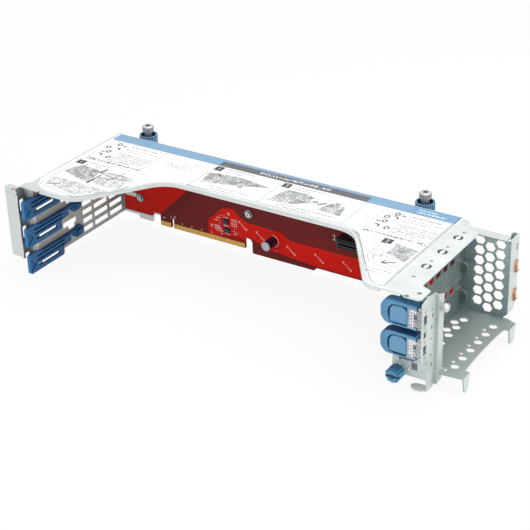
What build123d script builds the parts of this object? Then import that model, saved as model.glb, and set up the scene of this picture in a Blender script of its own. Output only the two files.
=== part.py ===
# Two-slot server riser cage, in millimetres.
# Three datum faces set every place: x from the end bracket's outer face, y from its near flange,
# z from the top plate's upper face. The frame's origin is under the middle of the whole cage.
import os
from math import radians, sqrt, tan

from build123d import *

os.makedirs("parts", exist_ok=True)

# Sheet metal
sheet = 1.0
bend = 0.6
clearance = 0.3

# Reach of the whole cage from the datum faces
cage_near = -1.0
flange_reach = 10.5
io_face = 331.5
vent_right = io_face + 35.5
hook_face = vent_right + 8.0
hook_foot = 77.0
board_front = 119.0
board_thick = 1.6
standoff_length = 5.0

# Top plate
plate_left = 3.3
plate_right = io_face + 10.5
plate_near = 7.5
plate_far = board_front + board_thick + standoff_length + sheet
plate_flange = 3.2
lip_left = 0.2
lip_right = 18.0
lip_near = 5.4
lip_far = 14.0
cut_left = 51.5
cut_right = io_face - 27.0
cut_far = 69.4
cut_angle = 55.6
cut_left_radius = 19.0
cut_right_radius = 12.0
cut_inner_radius = 25.0
strip_left = io_face - 10.6
strip_near = 4.5
strip_far = 109.6
corner_width = 12.0
corner_depth = 8.0
ear_left = io_face + 5.5
ear_right = io_face + 19.0
ear_near = 2.5
ear_far = 18.0
ear_hole = 1.9
ear_slope = 3.4
rear_wall_drop = 56.0
rear_corner_drop = 71.5
rear_foot_left = 20.5
rear_foot_right = 36.0
rear_foot_drop = 74.5
rear_notch_right = 44.0
rear_notch_drop = 66.8
screw_ear_width = 17.0
screw_ear_drop = 12.0
label_inset = 2.5
label_thick = 0.25

# End bracket
wall_drop = 71.2
wall_near_drop = 61.3
flange_drop = 60.0
joggle_near = 12.0
joggle_far = 15.0
bracket_shelf = 12.0
stud_radius = 2.6
stud_x = -0.8

# Slots and the card retainers that line up with them
slot_pitch = 23.4
retainer_middle = -40.0
retainer_depth = 3.7
retainer_length = 50.0

# Riser board
board_left = 10.4
board_right = io_face - 2.5
board_top = 4.0
edge_left = 47.7
edge_drop = 71.3
edge_contact_height = 4.2
contact_pitch = 1.0
contact_thick = 0.1
standoff_radius = 3.0
board_screw_radius = 3.4

# Card slot connectors
slot_left = io_face - 108.5
slot_length = 56.0
slot_height = 7.6
slot_deep = 10.0
lower_slot_drop = 38.7

# Rear wall that the cards' brackets close
io_near = 20.0
cover_thick = 0.8
cover_width = 20.6
cover_far = 104.0
tongue_inset = 1.2
tongue_reach = 6.0
tongue_height = 8.8
upper_cover_drop = 21.6
cover_tab = 11.0

# Vent bracket
vent_near = 110.0
vent_depth = 8.6
vent_column = 8.1
vent_first = 11.3
vent_pitch = 8.3
vent_hole = 7.1
vent_flange_far = 124.2
vent_flange_drop = 60.0
vent_return = 6.3
spring_drop = 28.6
spring_height = 8.6
floor_drop = 65.0
floor_edge = hook_face - 3.7
floor_near = 20.0
floor_pitch = 7.16
floor_hole = 6.0
floor_first = 33.7

# Latch post and panel
post_face = io_face + 21.5
post_near = 1.5
post_bend = 21.5
post_far = 28.3
post_step = 2.5
post_drop = 72.0
post_foot_drop = 75.4
panel_near = 11.0
panel_left = io_face - 5.5
panel_drop = 66.8

# Latches
latch_left = io_face - 11.1
latch_front = 2.5
latch_back = 9.9
latch_height = 19.0
upper_latch_drop = 15.1
hinge_x = post_face - 3.0
hinge_y = 4.3
hinge_pin_radius = 0.8
running_clearance = 0.05
hinge_barrel_radius = 1.75
hinge_lug = 3.4
button_left = io_face - 3.9
button_width = 13.2
button_height = 12.8

# Captive thumbscrews
near_screw_x = io_face + 0.4
near_screw_drop = 63.2
near_knob_face = cage_near
near_knob_radius = 5.7
rear_screw_left = 28.5
rear_screw_right = io_face - 45.5
rear_knob_radius = 7.53
rear_knob_gap = 0.37
rear_screw_y = plate_far + rear_knob_radius + rear_knob_gap
rear_knob_top = 1.3
rear_knob_drop = 8.0
screw_head_radius = 4.8
screw_head_top = 9.2
shank_radius = 1.6
thread_radius = 2.0

# Frame: the origin is at the middle of the cage's box, at the level of its lowest foot
cage_far = rear_screw_y + rear_knob_radius
datum = (
    -(hook_face - flange_reach) / 2,
    -(cage_near + cage_far) / 2,
    hook_foot,
)
TOP = Plane(origin=datum, x_dir=(1, 0, 0), z_dir=(0, 0, 1))
FRONT = Plane(origin=datum, x_dir=(1, 0, 0), z_dir=(0, -1, 0))
SIDE = Plane(origin=datum, x_dir=(0, 1, 0), z_dir=(1, 0, 0))


def slab(x, y, z, mode=Mode.ADD):
    """A flat piece of sheet between two x, two y and two z values."""
    with Locations(((x[0] + x[1]) / 2, (y[0] + y[1]) / 2, (z[0] + z[1]) / 2)):
        Box(x[1] - x[0], y[1] - y[0], z[1] - z[0], mode=mode)


# Top plate: one folded sheet. Its near edge steps back in a trapezoid to leave room for cards.
slope_run = (cut_far - plate_near) / tan(radians(cut_angle))
near_run = (plate_near - strip_near) / tan(radians(cut_angle))
near_edge_points = [
    (lip_right, plate_near),
    (cut_left, plate_near),
    (cut_left + slope_run, cut_far),
    (cut_right - slope_run, cut_far),
    (cut_right + near_run, strip_near),
    (ear_left, strip_near),
]
near_edge_radii = [cut_left_radius, cut_inner_radius, cut_inner_radius, cut_right_radius]
flange_end = latch_left - 2.0
rear_wall_near = plate_far - sheet

with BuildPart() as top_plate:
    with BuildSketch(TOP.offset(-sheet)):
        with BuildLine():
            FilletPolyline(*near_edge_points, radius=near_edge_radii)
            FilletPolyline(
                (ear_left, strip_near),
                (ear_left, ear_near),
                (ear_right, ear_near),
                (ear_right, ear_far),
                (plate_right, ear_far + ear_slope),
                (plate_right, strip_far),
                (plate_right - corner_width, plate_far - corner_depth),
                (strip_left, plate_far),
                (plate_left, plate_far),
                (plate_left, lip_far),
                (lip_left, lip_far),
                (lip_left, lip_near),
                (lip_right, lip_near),
                (lip_right, plate_near),
                radius=[1.5, 3.0, 1.5, 1.5, 4.0, 1.0, 1.0, 0.8, 0.8, 0.8, 1.5, 0.8],
            )
        make_face()
        with Locations((ear_right - 5.2, (ear_near + ear_far) / 2 + 0.7)):
            Circle(ear_hole, mode=Mode.SUBTRACT)
    extrude(amount=sheet)
    with BuildSketch(TOP.offset(-sheet)):
        with BuildLine():
            FilletPolyline(*near_edge_points[:-1], (flange_end, strip_near), radius=near_edge_radii)
            offset(
                amount=sheet / 2,
                side=Side.LEFT,
                closed=False,
                mode=Mode.REPLACE,
            )
        trace(line_width=sheet)
    extrude(amount=-(plate_flange - sheet))
    with BuildSketch(FRONT.offset(-rear_wall_near)):
        with BuildLine():
            Polyline(
                (plate_left, -sheet),
                (plate_left, -rear_corner_drop),
                (rear_foot_left - 1.5, -rear_corner_drop),
                (rear_foot_left, -rear_foot_drop),
                (rear_foot_right - 1.5, -rear_foot_drop),
                (rear_foot_right, -rear_notch_drop),
                (rear_notch_right, -rear_notch_drop),
                (rear_notch_right, -rear_wall_drop),
                (strip_left, -rear_wall_drop),
                (strip_left, -sheet),
                close=True,
            )
        make_face()
    extrude(amount=-sheet)
    with BuildSketch(TOP.offset(-screw_ear_drop)):
        with Locations((rear_screw_left, plate_far), (rear_screw_right, plate_far)):
            Rectangle(
                screw_ear_width,
                rear_screw_y - plate_far + sheet,
                align=(Align.CENTER, Align.MIN),
            )
        with Locations((rear_screw_left, rear_screw_y), (rear_screw_right, rear_screw_y)):
            Circle(rear_knob_radius - 0.6)
            Circle(shank_radius + 1.5, mode=Mode.SUBTRACT)
    extrude(amount=sheet)

with BuildPart() as label_sheet:
    with BuildSketch(TOP):
        with BuildLine():
            FilletPolyline(
                (plate_left + label_inset, plate_near + label_inset),
                (cut_left - label_inset, plate_near + label_inset),
                (cut_left + slope_run - label_inset, cut_far + label_inset),
                (cut_right - slope_run + label_inset, cut_far + label_inset),
                (cut_right + near_run + label_inset, strip_near + label_inset),
                (strip_left, strip_near + label_inset),
                (strip_left, plate_far - label_inset / 2),
                (plate_left + label_inset, plate_far - label_inset / 2),
                radius=near_edge_radii + [0.8, 0.8, 0.8, 0.8],
                close=True,
            )
        make_face()
    extrude(amount=label_thick)

# End bracket: one strip folded outwards at the near end and joggled inwards behind it
wall_face = plate_left
wall_inner = wall_face + sheet
wall_mid = wall_face + sheet / 2
wall_far = rear_wall_near - clearance
retainer_centres = [retainer_middle + slot * slot_pitch for slot in (1, 0, -1)]
cap_depth = 5.0
grid_columns = [(71.0, 83.0), (85.6, 102.9), (105.6, 122.0)]
grid_pitch = 7.65
grid_height = 4.5
grid_rows = 8
grid_foot = 3.0
grid_middles = [-wall_drop + grid_foot + grid_height / 2 + row * grid_pitch for row in range(grid_rows)]

with BuildPart(TOP) as left_bracket:
    with BuildSketch(TOP.offset(-wall_drop)):
        with BuildLine():
            FilletPolyline(
                (-flange_reach, sheet / 2),
                (sheet / 2, sheet / 2),
                (sheet / 2, joggle_near),
                (wall_mid, joggle_far),
                (wall_mid, wall_far),
                radius=[bend, 2.0, 2.0],
            )
        trace(line_width=sheet)
    extrude(amount=wall_drop - sheet)
    slab((-flange_reach - 1, 0), (-1, sheet + 1), (-wall_drop, -flange_drop), Mode.SUBTRACT)
    slab((-1, wall_inner + 1), (-1, joggle_far), (-wall_drop, -wall_near_drop), Mode.SUBTRACT)
    # Windows beside each retainer, and a grid of slots behind them
    with BuildSketch(SIDE.offset(-1)):
        with Locations(*[(4.85, centre + 1.2) for centre in retainer_centres]):
            Rectangle(4.7, 9.6)
    extrude(amount=3, mode=Mode.SUBTRACT)
    with BuildSketch(SIDE.offset(wall_face - 1)):
        with Locations(*[(54.25, centre - 11.8) for centre in retainer_centres]):
            Rectangle(16.5, 4.8)
        with Locations(*[(56.0, centre + 7.6) for centre in retainer_centres]):
            Rectangle(7.8, 3.6)
        with Locations(*[(27.5, centre - 8.6) for centre in retainer_centres]):
            Rectangle(21.0, 7.0)
        for near, far in grid_columns:
            with Locations(*[((near + far) / 2, middle) for middle in grid_middles]):
                Rectangle(far - near, grid_height)
    extrude(amount=3, mode=Mode.SUBTRACT)
    slab((-flange_reach, sheet), (0, cap_depth), (-sheet, 0))
    slab((wall_face, wall_face + bracket_shelf), (joggle_far + sheet, wall_far), (-2 * sheet, -sheet))

with BuildPart() as bracket_stud:
    with BuildSketch(FRONT):
        with Locations((stud_x, -stud_radius - 0.2)):
            Circle(stud_radius)
    extrude(amount=-cage_near)
    chamfer(bracket_stud.edges().group_by(Axis.Y)[0], length=0.4)


def card_retainer(centre):
    """A moulded clip for the end of a long card, lying along the end bracket."""
    face = wall_inner + retainer_depth
    foot = centre - 10.0
    block_far = joggle_far + 0.5
    loop_far = 40.6
    head_at = (61.8, centre + 1.4)
    with BuildPart(TOP) as clip:
        # Body, with a thin open loop below it
        with BuildSketch(SIDE.offset(wall_inner)):
            with BuildLine():
                FilletPolyline(
                    (cage_near, centre + 5.2),
                    (cage_near + 1.6, centre + 6.8),
                    (block_far - 6.0, centre + 6.8),
                    (block_far + 1.0, centre + 4.4),
                    (retainer_length, centre + 4.4),
                    (retainer_length, centre - 1.8),
                    (loop_far, centre - 2.8),
                    (loop_far, foot),
                    (cage_near + 1.4, foot),
                    (cage_near, foot + 1.4),
                    radius=[0.8, 1.5, 1.5, 1.0, 1.0, 1.0, 2.0, 0.8],
                )
                Line((cage_near, foot + 1.4), (cage_near, centre + 5.2))
            make_face()
            with Locations((22.3, centre - 5.2)):
                SlotOverall(26.0, 3.0, mode=Mode.SUBTRACT)
        extrude(amount=retainer_depth)
        slab(
            (wall_inner - 1, face - 1.8),
            (block_far, loop_far + 1),
            (foot - 1, centre - 3.4),
            Mode.SUBTRACT,
        )
        # Arm with its cross-shaped clip head
        with BuildSketch(SIDE.offset(wall_inner)):
            with Locations((retainer_length + 4.0, centre + 3.0)):
                Rectangle(12.0, 2.6)
            with Locations(head_at):
                Rectangle(12.4, 4.6)
                Rectangle(6.4, 9.2)
        extrude(amount=2.4)
        with BuildSketch(SIDE.offset(wall_inner)):
            with Locations(head_at):
                Rectangle(4.6, 4.6)
        extrude(amount=5.0)
        slab((wall_inner - 1, wall_inner + 1), (-4, block_far), (foot - 1, centre + 8), Mode.SUBTRACT)
        # Two grooves that take the card's edge, and a three-cornered hollow at the near end
        with BuildSketch(SIDE.offset(face)):
            with Locations((25.0, centre + 2.6), (25.0, centre - 0.8)):
                Rectangle(34.0, 1.5)
        extrude(amount=-1.6, mode=Mode.SUBTRACT)
        with BuildSketch(SIDE.offset(face)):
            with BuildLine():
                Polyline((0.3, centre + 2.8), (6.4, centre - 3.6), (0.6, centre - 8.6), close=True)
            make_face()
        extrude(amount=-1.0, mode=Mode.SUBTRACT)
    return clip


upper_card_retainer = card_retainer(retainer_centres[0])
middle_card_retainer = card_retainer(retainer_centres[1])
lower_card_retainer = card_retainer(retainer_centres[2])

# Riser board, with its card edge, key slot, notch and tab along the bottom
board_screw_places = [(27.6, -50.8), (137.1, -39.2), (io_face - 31.5, -39.2)]
board_left_drop = 65.2
notch_drop = 61.2
key_left = 59.1
key_right = 61.4
key_top = 62.7
edge_right = 132.9
tab_left = 139.6
tab_right = 197.6
tab_drop = 74.3
right_drop = 71.5
board_hole = 1.7
board_back = board_front + board_thick

with BuildPart() as riser_board:
    with BuildSketch(FRONT.offset(-board_front)):
        with BuildLine():
            FilletPolyline(
                (board_left, -board_top),
                (board_left, -board_left_drop),
                (39.0, -board_left_drop),
                (40.9, -notch_drop),
                (edge_left, -notch_drop),
                (edge_left, -edge_drop),
                (key_left, -edge_drop),
                (key_left, -key_top),
                (key_right, -key_top),
                (key_right, -edge_drop),
                (edge_right, -edge_drop),
                (edge_right, -notch_drop - 0.6),
                (tab_left, -notch_drop - 0.6),
                (tab_left, -tab_drop),
                (tab_right, -tab_drop),
                (tab_right + 2.8, -right_drop),
                (board_right, -right_drop),
                (board_right, -board_top),
                radius=[1, 1, 1, 0.8, 0.6, 0.6, 1, 1, 0.6, 0.6, 0.8, 0.8, 3.6, 1, 1, 1, 1, 1],
                close=True,
            )
        make_face()
        with Locations(*board_screw_places):
            Circle(board_hole, mode=Mode.SUBTRACT)
    extrude(amount=-board_thick)

# Gold contacts on both sides of the card edge, one every millimetre, with none at the key
contact_width = 0.7
contact_margin = 0.6
contact_foot = edge_drop - 0.3
contact_height = edge_contact_height - 0.3
contact_count = int((edge_right - edge_left) / contact_pitch) - 1
contact_first = edge_left + contact_margin + contact_width / 2
contact_places = [contact_first + contact_pitch * contact for contact in range(contact_count)]
key_middle = (key_left + key_right) / 2
key_half = (key_right - key_left) / 2 + contact_margin + contact_width / 2

with BuildPart() as edge_contacts:
    with BuildSketch(FRONT.offset(-board_front)):
        for left, right in ((0, key_middle - key_half), (key_middle + key_half, edge_right)):
            places = [x for x in contact_places if left < x < right]
            with Locations(*[(x, -contact_foot + contact_height / 2) for x in places]):
                Rectangle(contact_width, contact_height)
    extrude(amount=contact_thick)
    mirror(about=FRONT.offset(-board_front - board_thick / 2))


def slot_connector(drop):
    """A card slot: a long housing with a keyed groove in its near face."""
    near = board_front - slot_deep
    right = slot_left + slot_length
    middle = slot_left + slot_length / 2
    with BuildPart(TOP) as housing:
        slab((slot_left, right), (near, board_front), (-drop - slot_height / 2, -drop + slot_height / 2))
        chamfer(housing.faces().sort_by(Axis.Y)[0].edges(), length=0.7)
        with BuildSketch(FRONT.offset(-near)):
            with Locations((middle - 6.2, -drop)):
                Rectangle(slot_length - 17.4, 1.8)
            with Locations((right - 7.8, -drop)):
                Rectangle(10.6, 1.8)
        extrude(amount=-8.2, mode=Mode.SUBTRACT)
        with BuildSketch(FRONT.offset(-near)):
            with Locations((middle, -drop + 2.6), (middle, -drop - 2.6)):
                Rectangle(slot_length - 5.0, 1.0)
        extrude(amount=-1.0, mode=Mode.SUBTRACT)
    return housing


upper_slot_connector = slot_connector(lower_slot_drop - slot_pitch)
lower_slot_connector = slot_connector(lower_slot_drop)

# Board components
capacitor_at = (159.6, -57.8)
capacitor_radius = 4.0
capacitor_length = 11.5

with BuildPart() as capacitor:
    with BuildSketch(FRONT.offset(-board_front)):
        with Locations(capacitor_at):
            Circle(capacitor_radius)
    extrude(amount=capacitor_length)
    chamfer(capacitor.edges().group_by(Axis.Y)[0], length=0.4)
    with BuildSketch(FRONT.offset(-board_front + capacitor_length)):
        with Locations(capacitor_at):
            Circle(capacitor_radius - 0.9)
    extrude(amount=-0.3, mode=Mode.SUBTRACT)


def small_chip(x, z, width, height, pins):
    """A chip body standing on two rows of legs, above and below it."""
    with BuildPart() as chip:
        with BuildSketch(FRONT.offset(-board_front)):
            with Locations((x, z)):
                with GridLocations(width / pins, height, pins, 1):
                    Rectangle(0.4, height + 2.0)
        extrude(amount=0.9)
        with BuildSketch(FRONT.offset(-board_front + 0.15)):
            with Locations((x, z)):
                Rectangle(width, height)
        extrude(amount=1.5)
    return chip


control_chip = small_chip(114.5, -51.6, 4.9, 3.9, 4)
power_chip = small_chip(115.6, -59.2, 6.0, 3.2, 3)

# Standoffs carry the board on the plate's rear wall, and washer-head screws hold it
washer_thick = 0.8
board_head_height = 1.3

with BuildPart() as board_standoffs:
    with BuildSketch(FRONT.offset(-board_back)):
        with Locations(*board_screw_places):
            Circle(standoff_radius)
            Circle(board_hole - 0.1, mode=Mode.SUBTRACT)
    extrude(amount=board_back - rear_wall_near)

with BuildPart() as board_screws:
    with BuildSketch(FRONT.offset(-board_front)):
        with Locations(*board_screw_places):
            Circle(board_screw_radius)
    extrude(amount=washer_thick)
    with BuildSketch(FRONT.offset(-board_front)):
        with Locations(*board_screw_places):
            Circle(2.5)
    extrude(amount=washer_thick + board_head_height)
    with BuildSketch(FRONT.offset(-board_front)):
        with Locations(*board_screw_places):
            Circle(board_hole - 0.2)
    extrude(amount=-board_thick - 3.0)
    with BuildSketch(FRONT.offset(-board_front + washer_thick + board_head_height)):
        with Locations(*board_screw_places):
            RegularPolygon(1.3, 6)
    extrude(amount=-1.0, mode=Mode.SUBTRACT)

# Wall at the cards' rear end: a frame with one window behind each slot cover
cover_drops = [upper_cover_drop, upper_cover_drop + slot_pitch]
window_height = 13.0
window_near = io_near + 6.0
window_far = cover_far - 7.0
screw_notch_far = 24.0
screw_notch_drop = 58.0

with BuildPart(TOP) as io_wall:
    slab((io_face - sheet, io_face), (panel_near + sheet, vent_near + sheet), (-floor_drop, -sheet))
    slab(
        (io_face - 2, io_face + 1),
        (panel_near, screw_notch_far),
        (-floor_drop - 1, -screw_notch_drop),
        Mode.SUBTRACT,
    )
    with BuildSketch(SIDE.offset(io_face - 2)):
        with Locations(*[((window_near + window_far) / 2, -drop) for drop in cover_drops]):
            Rectangle(window_far - window_near, window_height)
    extrude(amount=3, mode=Mode.SUBTRACT)
    slab((io_face - 9.0, io_face), (io_near, vent_near - clearance), (-2 * sheet, -sheet))


def slot_cover(drop):
    """A blank for an unused slot: perforated, with a tab at the near end and a tongue at the far."""
    tab_near = panel_near - cover_thick
    tongue_top = -drop - 0.8
    tongue_foot = tongue_top - tongue_height
    with BuildPart(TOP) as cover:
        slab(
            (io_face, io_face + cover_thick),
            (tab_near, cover_far),
            (-drop - cover_width / 2, -drop + cover_width / 2),
        )
        slab(
            (io_face, io_face + cover_tab),
            (tab_near, panel_near),
            (-drop - cover_width / 2 + 1.0, -drop + cover_width / 2 - 1.0),
        )
        with BuildSketch(SIDE.offset(io_face)):
            with Locations(*[(33.6 + hole * 10.9, -drop + 5.2) for hole in range(7)]):
                Rectangle(7.4, 5.4)
        extrude(amount=cover_thick, mode=Mode.SUBTRACT)
        with BuildSketch(FRONT.offset(-cover_far + tongue_inset)):
            with BuildLine():
                FilletPolyline(
                    (io_face, tongue_top),
                    (io_face + tongue_reach, tongue_top),
                    (io_face + tongue_reach, tongue_foot),
                    (io_face, tongue_foot),
                    radius=[2.6, 0.8],
                )
                Line((io_face, tongue_foot), (io_face, tongue_top))
            make_face()
        extrude(amount=cover_thick)
    return cover


upper_slot_cover = slot_cover(cover_drops[0])
lower_slot_cover = slot_cover(cover_drops[1])

# Vent bracket: honeycomb side wall, right flange, floor and two hooks from one folded sheet
floor_top = -floor_drop + sheet
floor_row = floor_pitch * sqrt(3)
vent_left = io_face + vent_first
vent_places = []
for column, shift in enumerate((0, 0.5, 0)):
    vent_places += [
        (vent_left + column * vent_column, -4.9 - (row + shift) * vent_pitch) for row in range(7)
    ]
floor_right_column = vent_right - 4.2
floor_left_column = io_face + 8.8
inner_first = floor_first - 1.8
floor_places = [(floor_right_column, floor_first + row * floor_row) for row in range(6)]
floor_places += [(floor_left_column, inner_first + row * floor_row) for row in range(6)]
floor_places += [(floor_left_column - 4.3, inner_first + (row + 0.5) * floor_row) for row in range(5)]
triangle_places = [
    (floor_right_column - 3.9, floor_first - 0.7 + (row - 0.5) * floor_row) for row in range(6)
]
floor_notch_right = post_face + post_step + 1.0
floor_notch_far = post_far + 1.5
hook_inner = hook_face - sheet
return_foot = -vent_flange_drop + 7.0
spring_drops = (spring_drop, spring_drop + slot_pitch)
near_hook = (floor_near + 2.0, floor_near + 12.0)
far_hook = (96.5, 107.5)

with BuildPart(TOP) as honeycomb_bracket:
    with BuildSketch(FRONT.offset(-vent_near)):
        with BuildLine():
            Polyline(
                (io_face, -sheet),
                (io_face, -floor_drop),
                (vent_right - 5.0, -floor_drop),
                (vent_right, -vent_flange_drop),
                (vent_right, -sheet),
                close=True,
            )
        make_face()
        with Locations(*vent_places):
            RegularPolygon(vent_hole / sqrt(3), 6, mode=Mode.SUBTRACT)
    extrude(amount=-sheet)
    with BuildSketch(SIDE.offset(vent_right - sheet)):
        with BuildLine():
            Polyline(
                (vent_near, -vent_flange_drop),
                (vent_flange_far - 5.0, -vent_flange_drop),
                (vent_flange_far, return_foot),
                (vent_flange_far, 0),
                (vent_near, 0),
                close=True,
            )
        make_face()
        with Locations(*[(120.0, -drop + spring_height / 2) for drop in spring_drops]):
            Rectangle(4.0, spring_height - 1.0, mode=Mode.SUBTRACT)
    extrude(amount=sheet)
    slab((io_face, vent_right - 3.8), (vent_near, vent_near + vent_depth), (-2 * sheet, -sheet))
    # Return tab along the right flange's far end
    with BuildSketch(FRONT.offset(-vent_flange_far)):
        with BuildLine():
            Polyline(
                (vent_right, return_foot),
                (vent_right - vent_return, return_foot),
                (vent_right - vent_return, -2.6),
                (vent_right - vent_return + 1.6, 0),
                (vent_right, 0),
                close=True,
            )
        make_face()
    extrude(amount=sheet)
    # Floor, with its free edge drawn in between the hooks and a notch round the post
    with BuildSketch(TOP.offset(-floor_drop)):
        with BuildLine():
            Polyline(
                (floor_edge, far_hook[0]),
                (hook_face, far_hook[0]),
                (hook_face, far_hook[1]),
                (vent_right, vent_near + sheet),
                (io_face, vent_near + sheet),
                (io_face, floor_notch_far),
                (floor_notch_right, floor_notch_far),
                (floor_notch_right, floor_near),
                (hook_face, near_hook[0]),
                (hook_face, near_hook[1]),
                (floor_edge, near_hook[1]),
            )
            ThreePointArc(
                (floor_edge, near_hook[1]),
                (floor_edge - 1.2, (near_hook[1] + far_hook[0]) / 2),
                (floor_edge, far_hook[0]),
            )
        make_face()
        with Locations(*floor_places):
            RegularPolygon(floor_hole / sqrt(3), 6, rotation=30, mode=Mode.SUBTRACT)
        with Locations(*triangle_places):
            RegularPolygon(2.7, 3, rotation=180, mode=Mode.SUBTRACT)
    extrude(amount=sheet)
    with BuildSketch(SIDE.offset(hook_inner)):
        for near, far in (near_hook, far_hook):
            with BuildLine():
                FilletPolyline(
                    (near, floor_top),
                    (near + 2.4, -hook_foot),
                    (far - 2.4, -hook_foot),
                    (far, floor_top),
                    radius=1.6,
                )
                Line((far, floor_top), (near, floor_top))
            make_face()
    extrude(amount=sheet)

# Copper springs that ground the flange
with BuildPart() as emi_springs:
    for drop in spring_drops:
        with BuildSketch(TOP.offset(-drop)):
            with BuildLine():
                ThreePointArc((vent_right, 117.0), (vent_right + 1.6, 120.0), (vent_right, 123.0))
                Line((vent_right, 123.0), (vent_right, 117.0))
            make_face()
        extrude(amount=spring_height)

# Latch post and panel: a panel facing the near side, folded into a stepped post at its right
latch_drops = [upper_latch_drop, upper_latch_drop + slot_pitch]
panel_step_drop = latch_drops[1] + latch_height / 2 + clearance
cover_notch_drop = cover_drops[1] + cover_width / 2 + clearance
ear_offset = latch_height / 2 - hinge_lug + 1.1
ear_thick = 1.0
ear_radius = hinge_barrel_radius - 0.05
ear_middles = [-drop + side * ear_offset for drop in latch_drops for side in (-1, 1)]
panel_opening = (io_face + 11.5, -58.2)
post_flange_drop = 48.3
post_mid = 6.0

with BuildPart(TOP) as latch_post:
    with BuildSketch(FRONT.offset(-panel_near)):
        with BuildLine():
            Polyline(
                (io_face + cover_thick + clearance, -sheet),
                (io_face + cover_thick + clearance, -cover_notch_drop),
                (io_face - clearance, -cover_notch_drop),
                (io_face - clearance, -panel_step_drop),
                (panel_left, -panel_step_drop),
                (panel_left, -panel_drop),
                (post_face, -panel_drop),
                (post_face, -sheet),
                close=True,
            )
        make_face()
        with Locations(panel_opening):
            Rectangle(4.6, 6.0, mode=Mode.SUBTRACT)
        with Locations((io_face + 6.9, -55.2), (io_face + 7.2, -62.3)):
            Circle(0.9, mode=Mode.SUBTRACT)
        with Locations((near_screw_x, -near_screw_drop)):
            Circle(shank_radius + 1.0, mode=Mode.SUBTRACT)
    extrude(amount=-sheet)
    slab((panel_left + 8.0, plate_right), (panel_near, io_near - clearance), (-2 * sheet, -sheet))
    with BuildSketch(SIDE.offset(post_face - sheet)):
        with BuildLine():
            Polyline(
                (post_near, -2.7),
                (post_near, -post_flange_drop),
                (panel_near, -post_flange_drop - 2.0),
                (panel_near, -post_foot_drop),
                (post_bend - 1.8, -post_foot_drop),
                (post_bend, -post_foot_drop + 1.5),
                (post_bend, -2.4),
                (panel_near, -sheet),
                close=True,
            )
        make_face()
        for middle, height in ((-16.2, 7.4), (-27.4, 5.0), (-39.4, 7.4)):
            with Locations((post_mid, middle)):
                Rectangle(4.4, height, mode=Mode.SUBTRACT)
        with Locations((15.4, -12.6), (15.4, -35.2), (15.4, -48.0)):
            Circle(0.9, mode=Mode.SUBTRACT)
        with Locations((16.6, -17.3), (15.6, -26.0), (16.8, -56.2)):
            SlotOverall(3.2, 1.7, rotation=90, mode=Mode.SUBTRACT)
    extrude(amount=sheet)
    with BuildSketch(SIDE.offset(post_face)):
        with Locations(*[(post_mid + 0.6, middle) for middle in (-10.2, -22.4, -33.0, -45.6)]):
            Circle(1.4)
    extrude(amount=0.7)
    with BuildSketch(SIDE.offset(post_face + post_step - sheet)):
        with BuildLine():
            Polyline(
                (post_bend - sheet, -2.8),
                (post_bend - sheet, -post_foot_drop + 1.5),
                (post_far, -post_drop),
                (post_far, -5.5),
                close=True,
            )
        make_face()
    extrude(amount=sheet)
    slab(
        (post_face - sheet, post_face + post_step),
        (post_bend - sheet, post_bend),
        (-post_foot_drop + 1.5, -2.8),
    )
    with BuildSketch(TOP.offset(-post_foot_drop)):
        with Locations((post_face - 6.5, 12.6)):
            Ellipse(6.4, 4.0)
    extrude(amount=sheet)
    # Ears that hold the hinge pins
    for middle in ear_middles:
        with BuildSketch(TOP.offset(middle - ear_thick / 2)):
            with Locations((hinge_x, hinge_y)):
                Circle(ear_radius)
                Rectangle(
                    post_face - sheet - hinge_x,
                    2 * ear_radius - 0.4,
                    align=(Align.MIN, Align.CENTER),
                )
                Circle(hinge_pin_radius, mode=Mode.SUBTRACT)
        extrude(amount=ear_thick)

pin_length = 2 * ear_offset + ear_thick + 1.0

with BuildPart() as latch_pins:
    for drop in latch_drops:
        with BuildSketch(TOP.offset(-drop - pin_length / 2)):
            with Locations((hinge_x, hinge_y)):
                Circle(hinge_pin_radius)
        extrude(amount=pin_length)

stud_neck = 2.6
stud_head = 2.2

with BuildPart() as post_stud:
    with BuildSketch(SIDE.offset(post_face + post_step)):
        with Locations((25.0, -14.0)):
            Circle(2.0)
    extrude(amount=stud_neck)
    with BuildSketch(SIDE.offset(post_face + post_step + stud_neck)):
        with Locations((25.0, -14.0)):
            Circle(3.4)
    extrude(amount=stud_head)
    chamfer(post_stud.edges().group_by(Axis.X)[-1], length=0.8)

# Latches: a blue shell, open behind, carries a release button and a metal hinge leaf
latch_wall = 1.4
latch_web = 3.2
latch_round = 7.5
latch_right = hinge_x - hinge_barrel_radius - clearance
latch_edge = 1.2
button_shift = -0.4
button_middle = button_left + button_width / 2
button_gap = 0.3
button_round = 5.0
button_square = 0.8
button_lip = 0.7
groove_width = 1.5
groove_depth = 2.2
leaf_left = button_left + button_width + 2 * button_gap + 0.2
leaf_thick = 0.5
leaf_foot = -8.0
leaf_top = 7.0
lug_half = latch_height / 2 - hinge_lug


def button_corners(drop, grow):
    """Corners round a button: the first two are beside the leaf."""
    low = -drop + button_shift - button_height / 2 - grow
    high = -drop + button_shift + button_height / 2 + grow
    left = button_left - grow
    right = button_left + button_width + grow
    return [(right, low), (right, high), (left, high), (left, low)]


def button_radii(grow):
    """Corner radii of a button: round at its free end, nearly square beside the leaf."""
    free = button_round - button_gap + grow
    square = button_square - button_gap + grow
    return [square, free, free, square]


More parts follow.
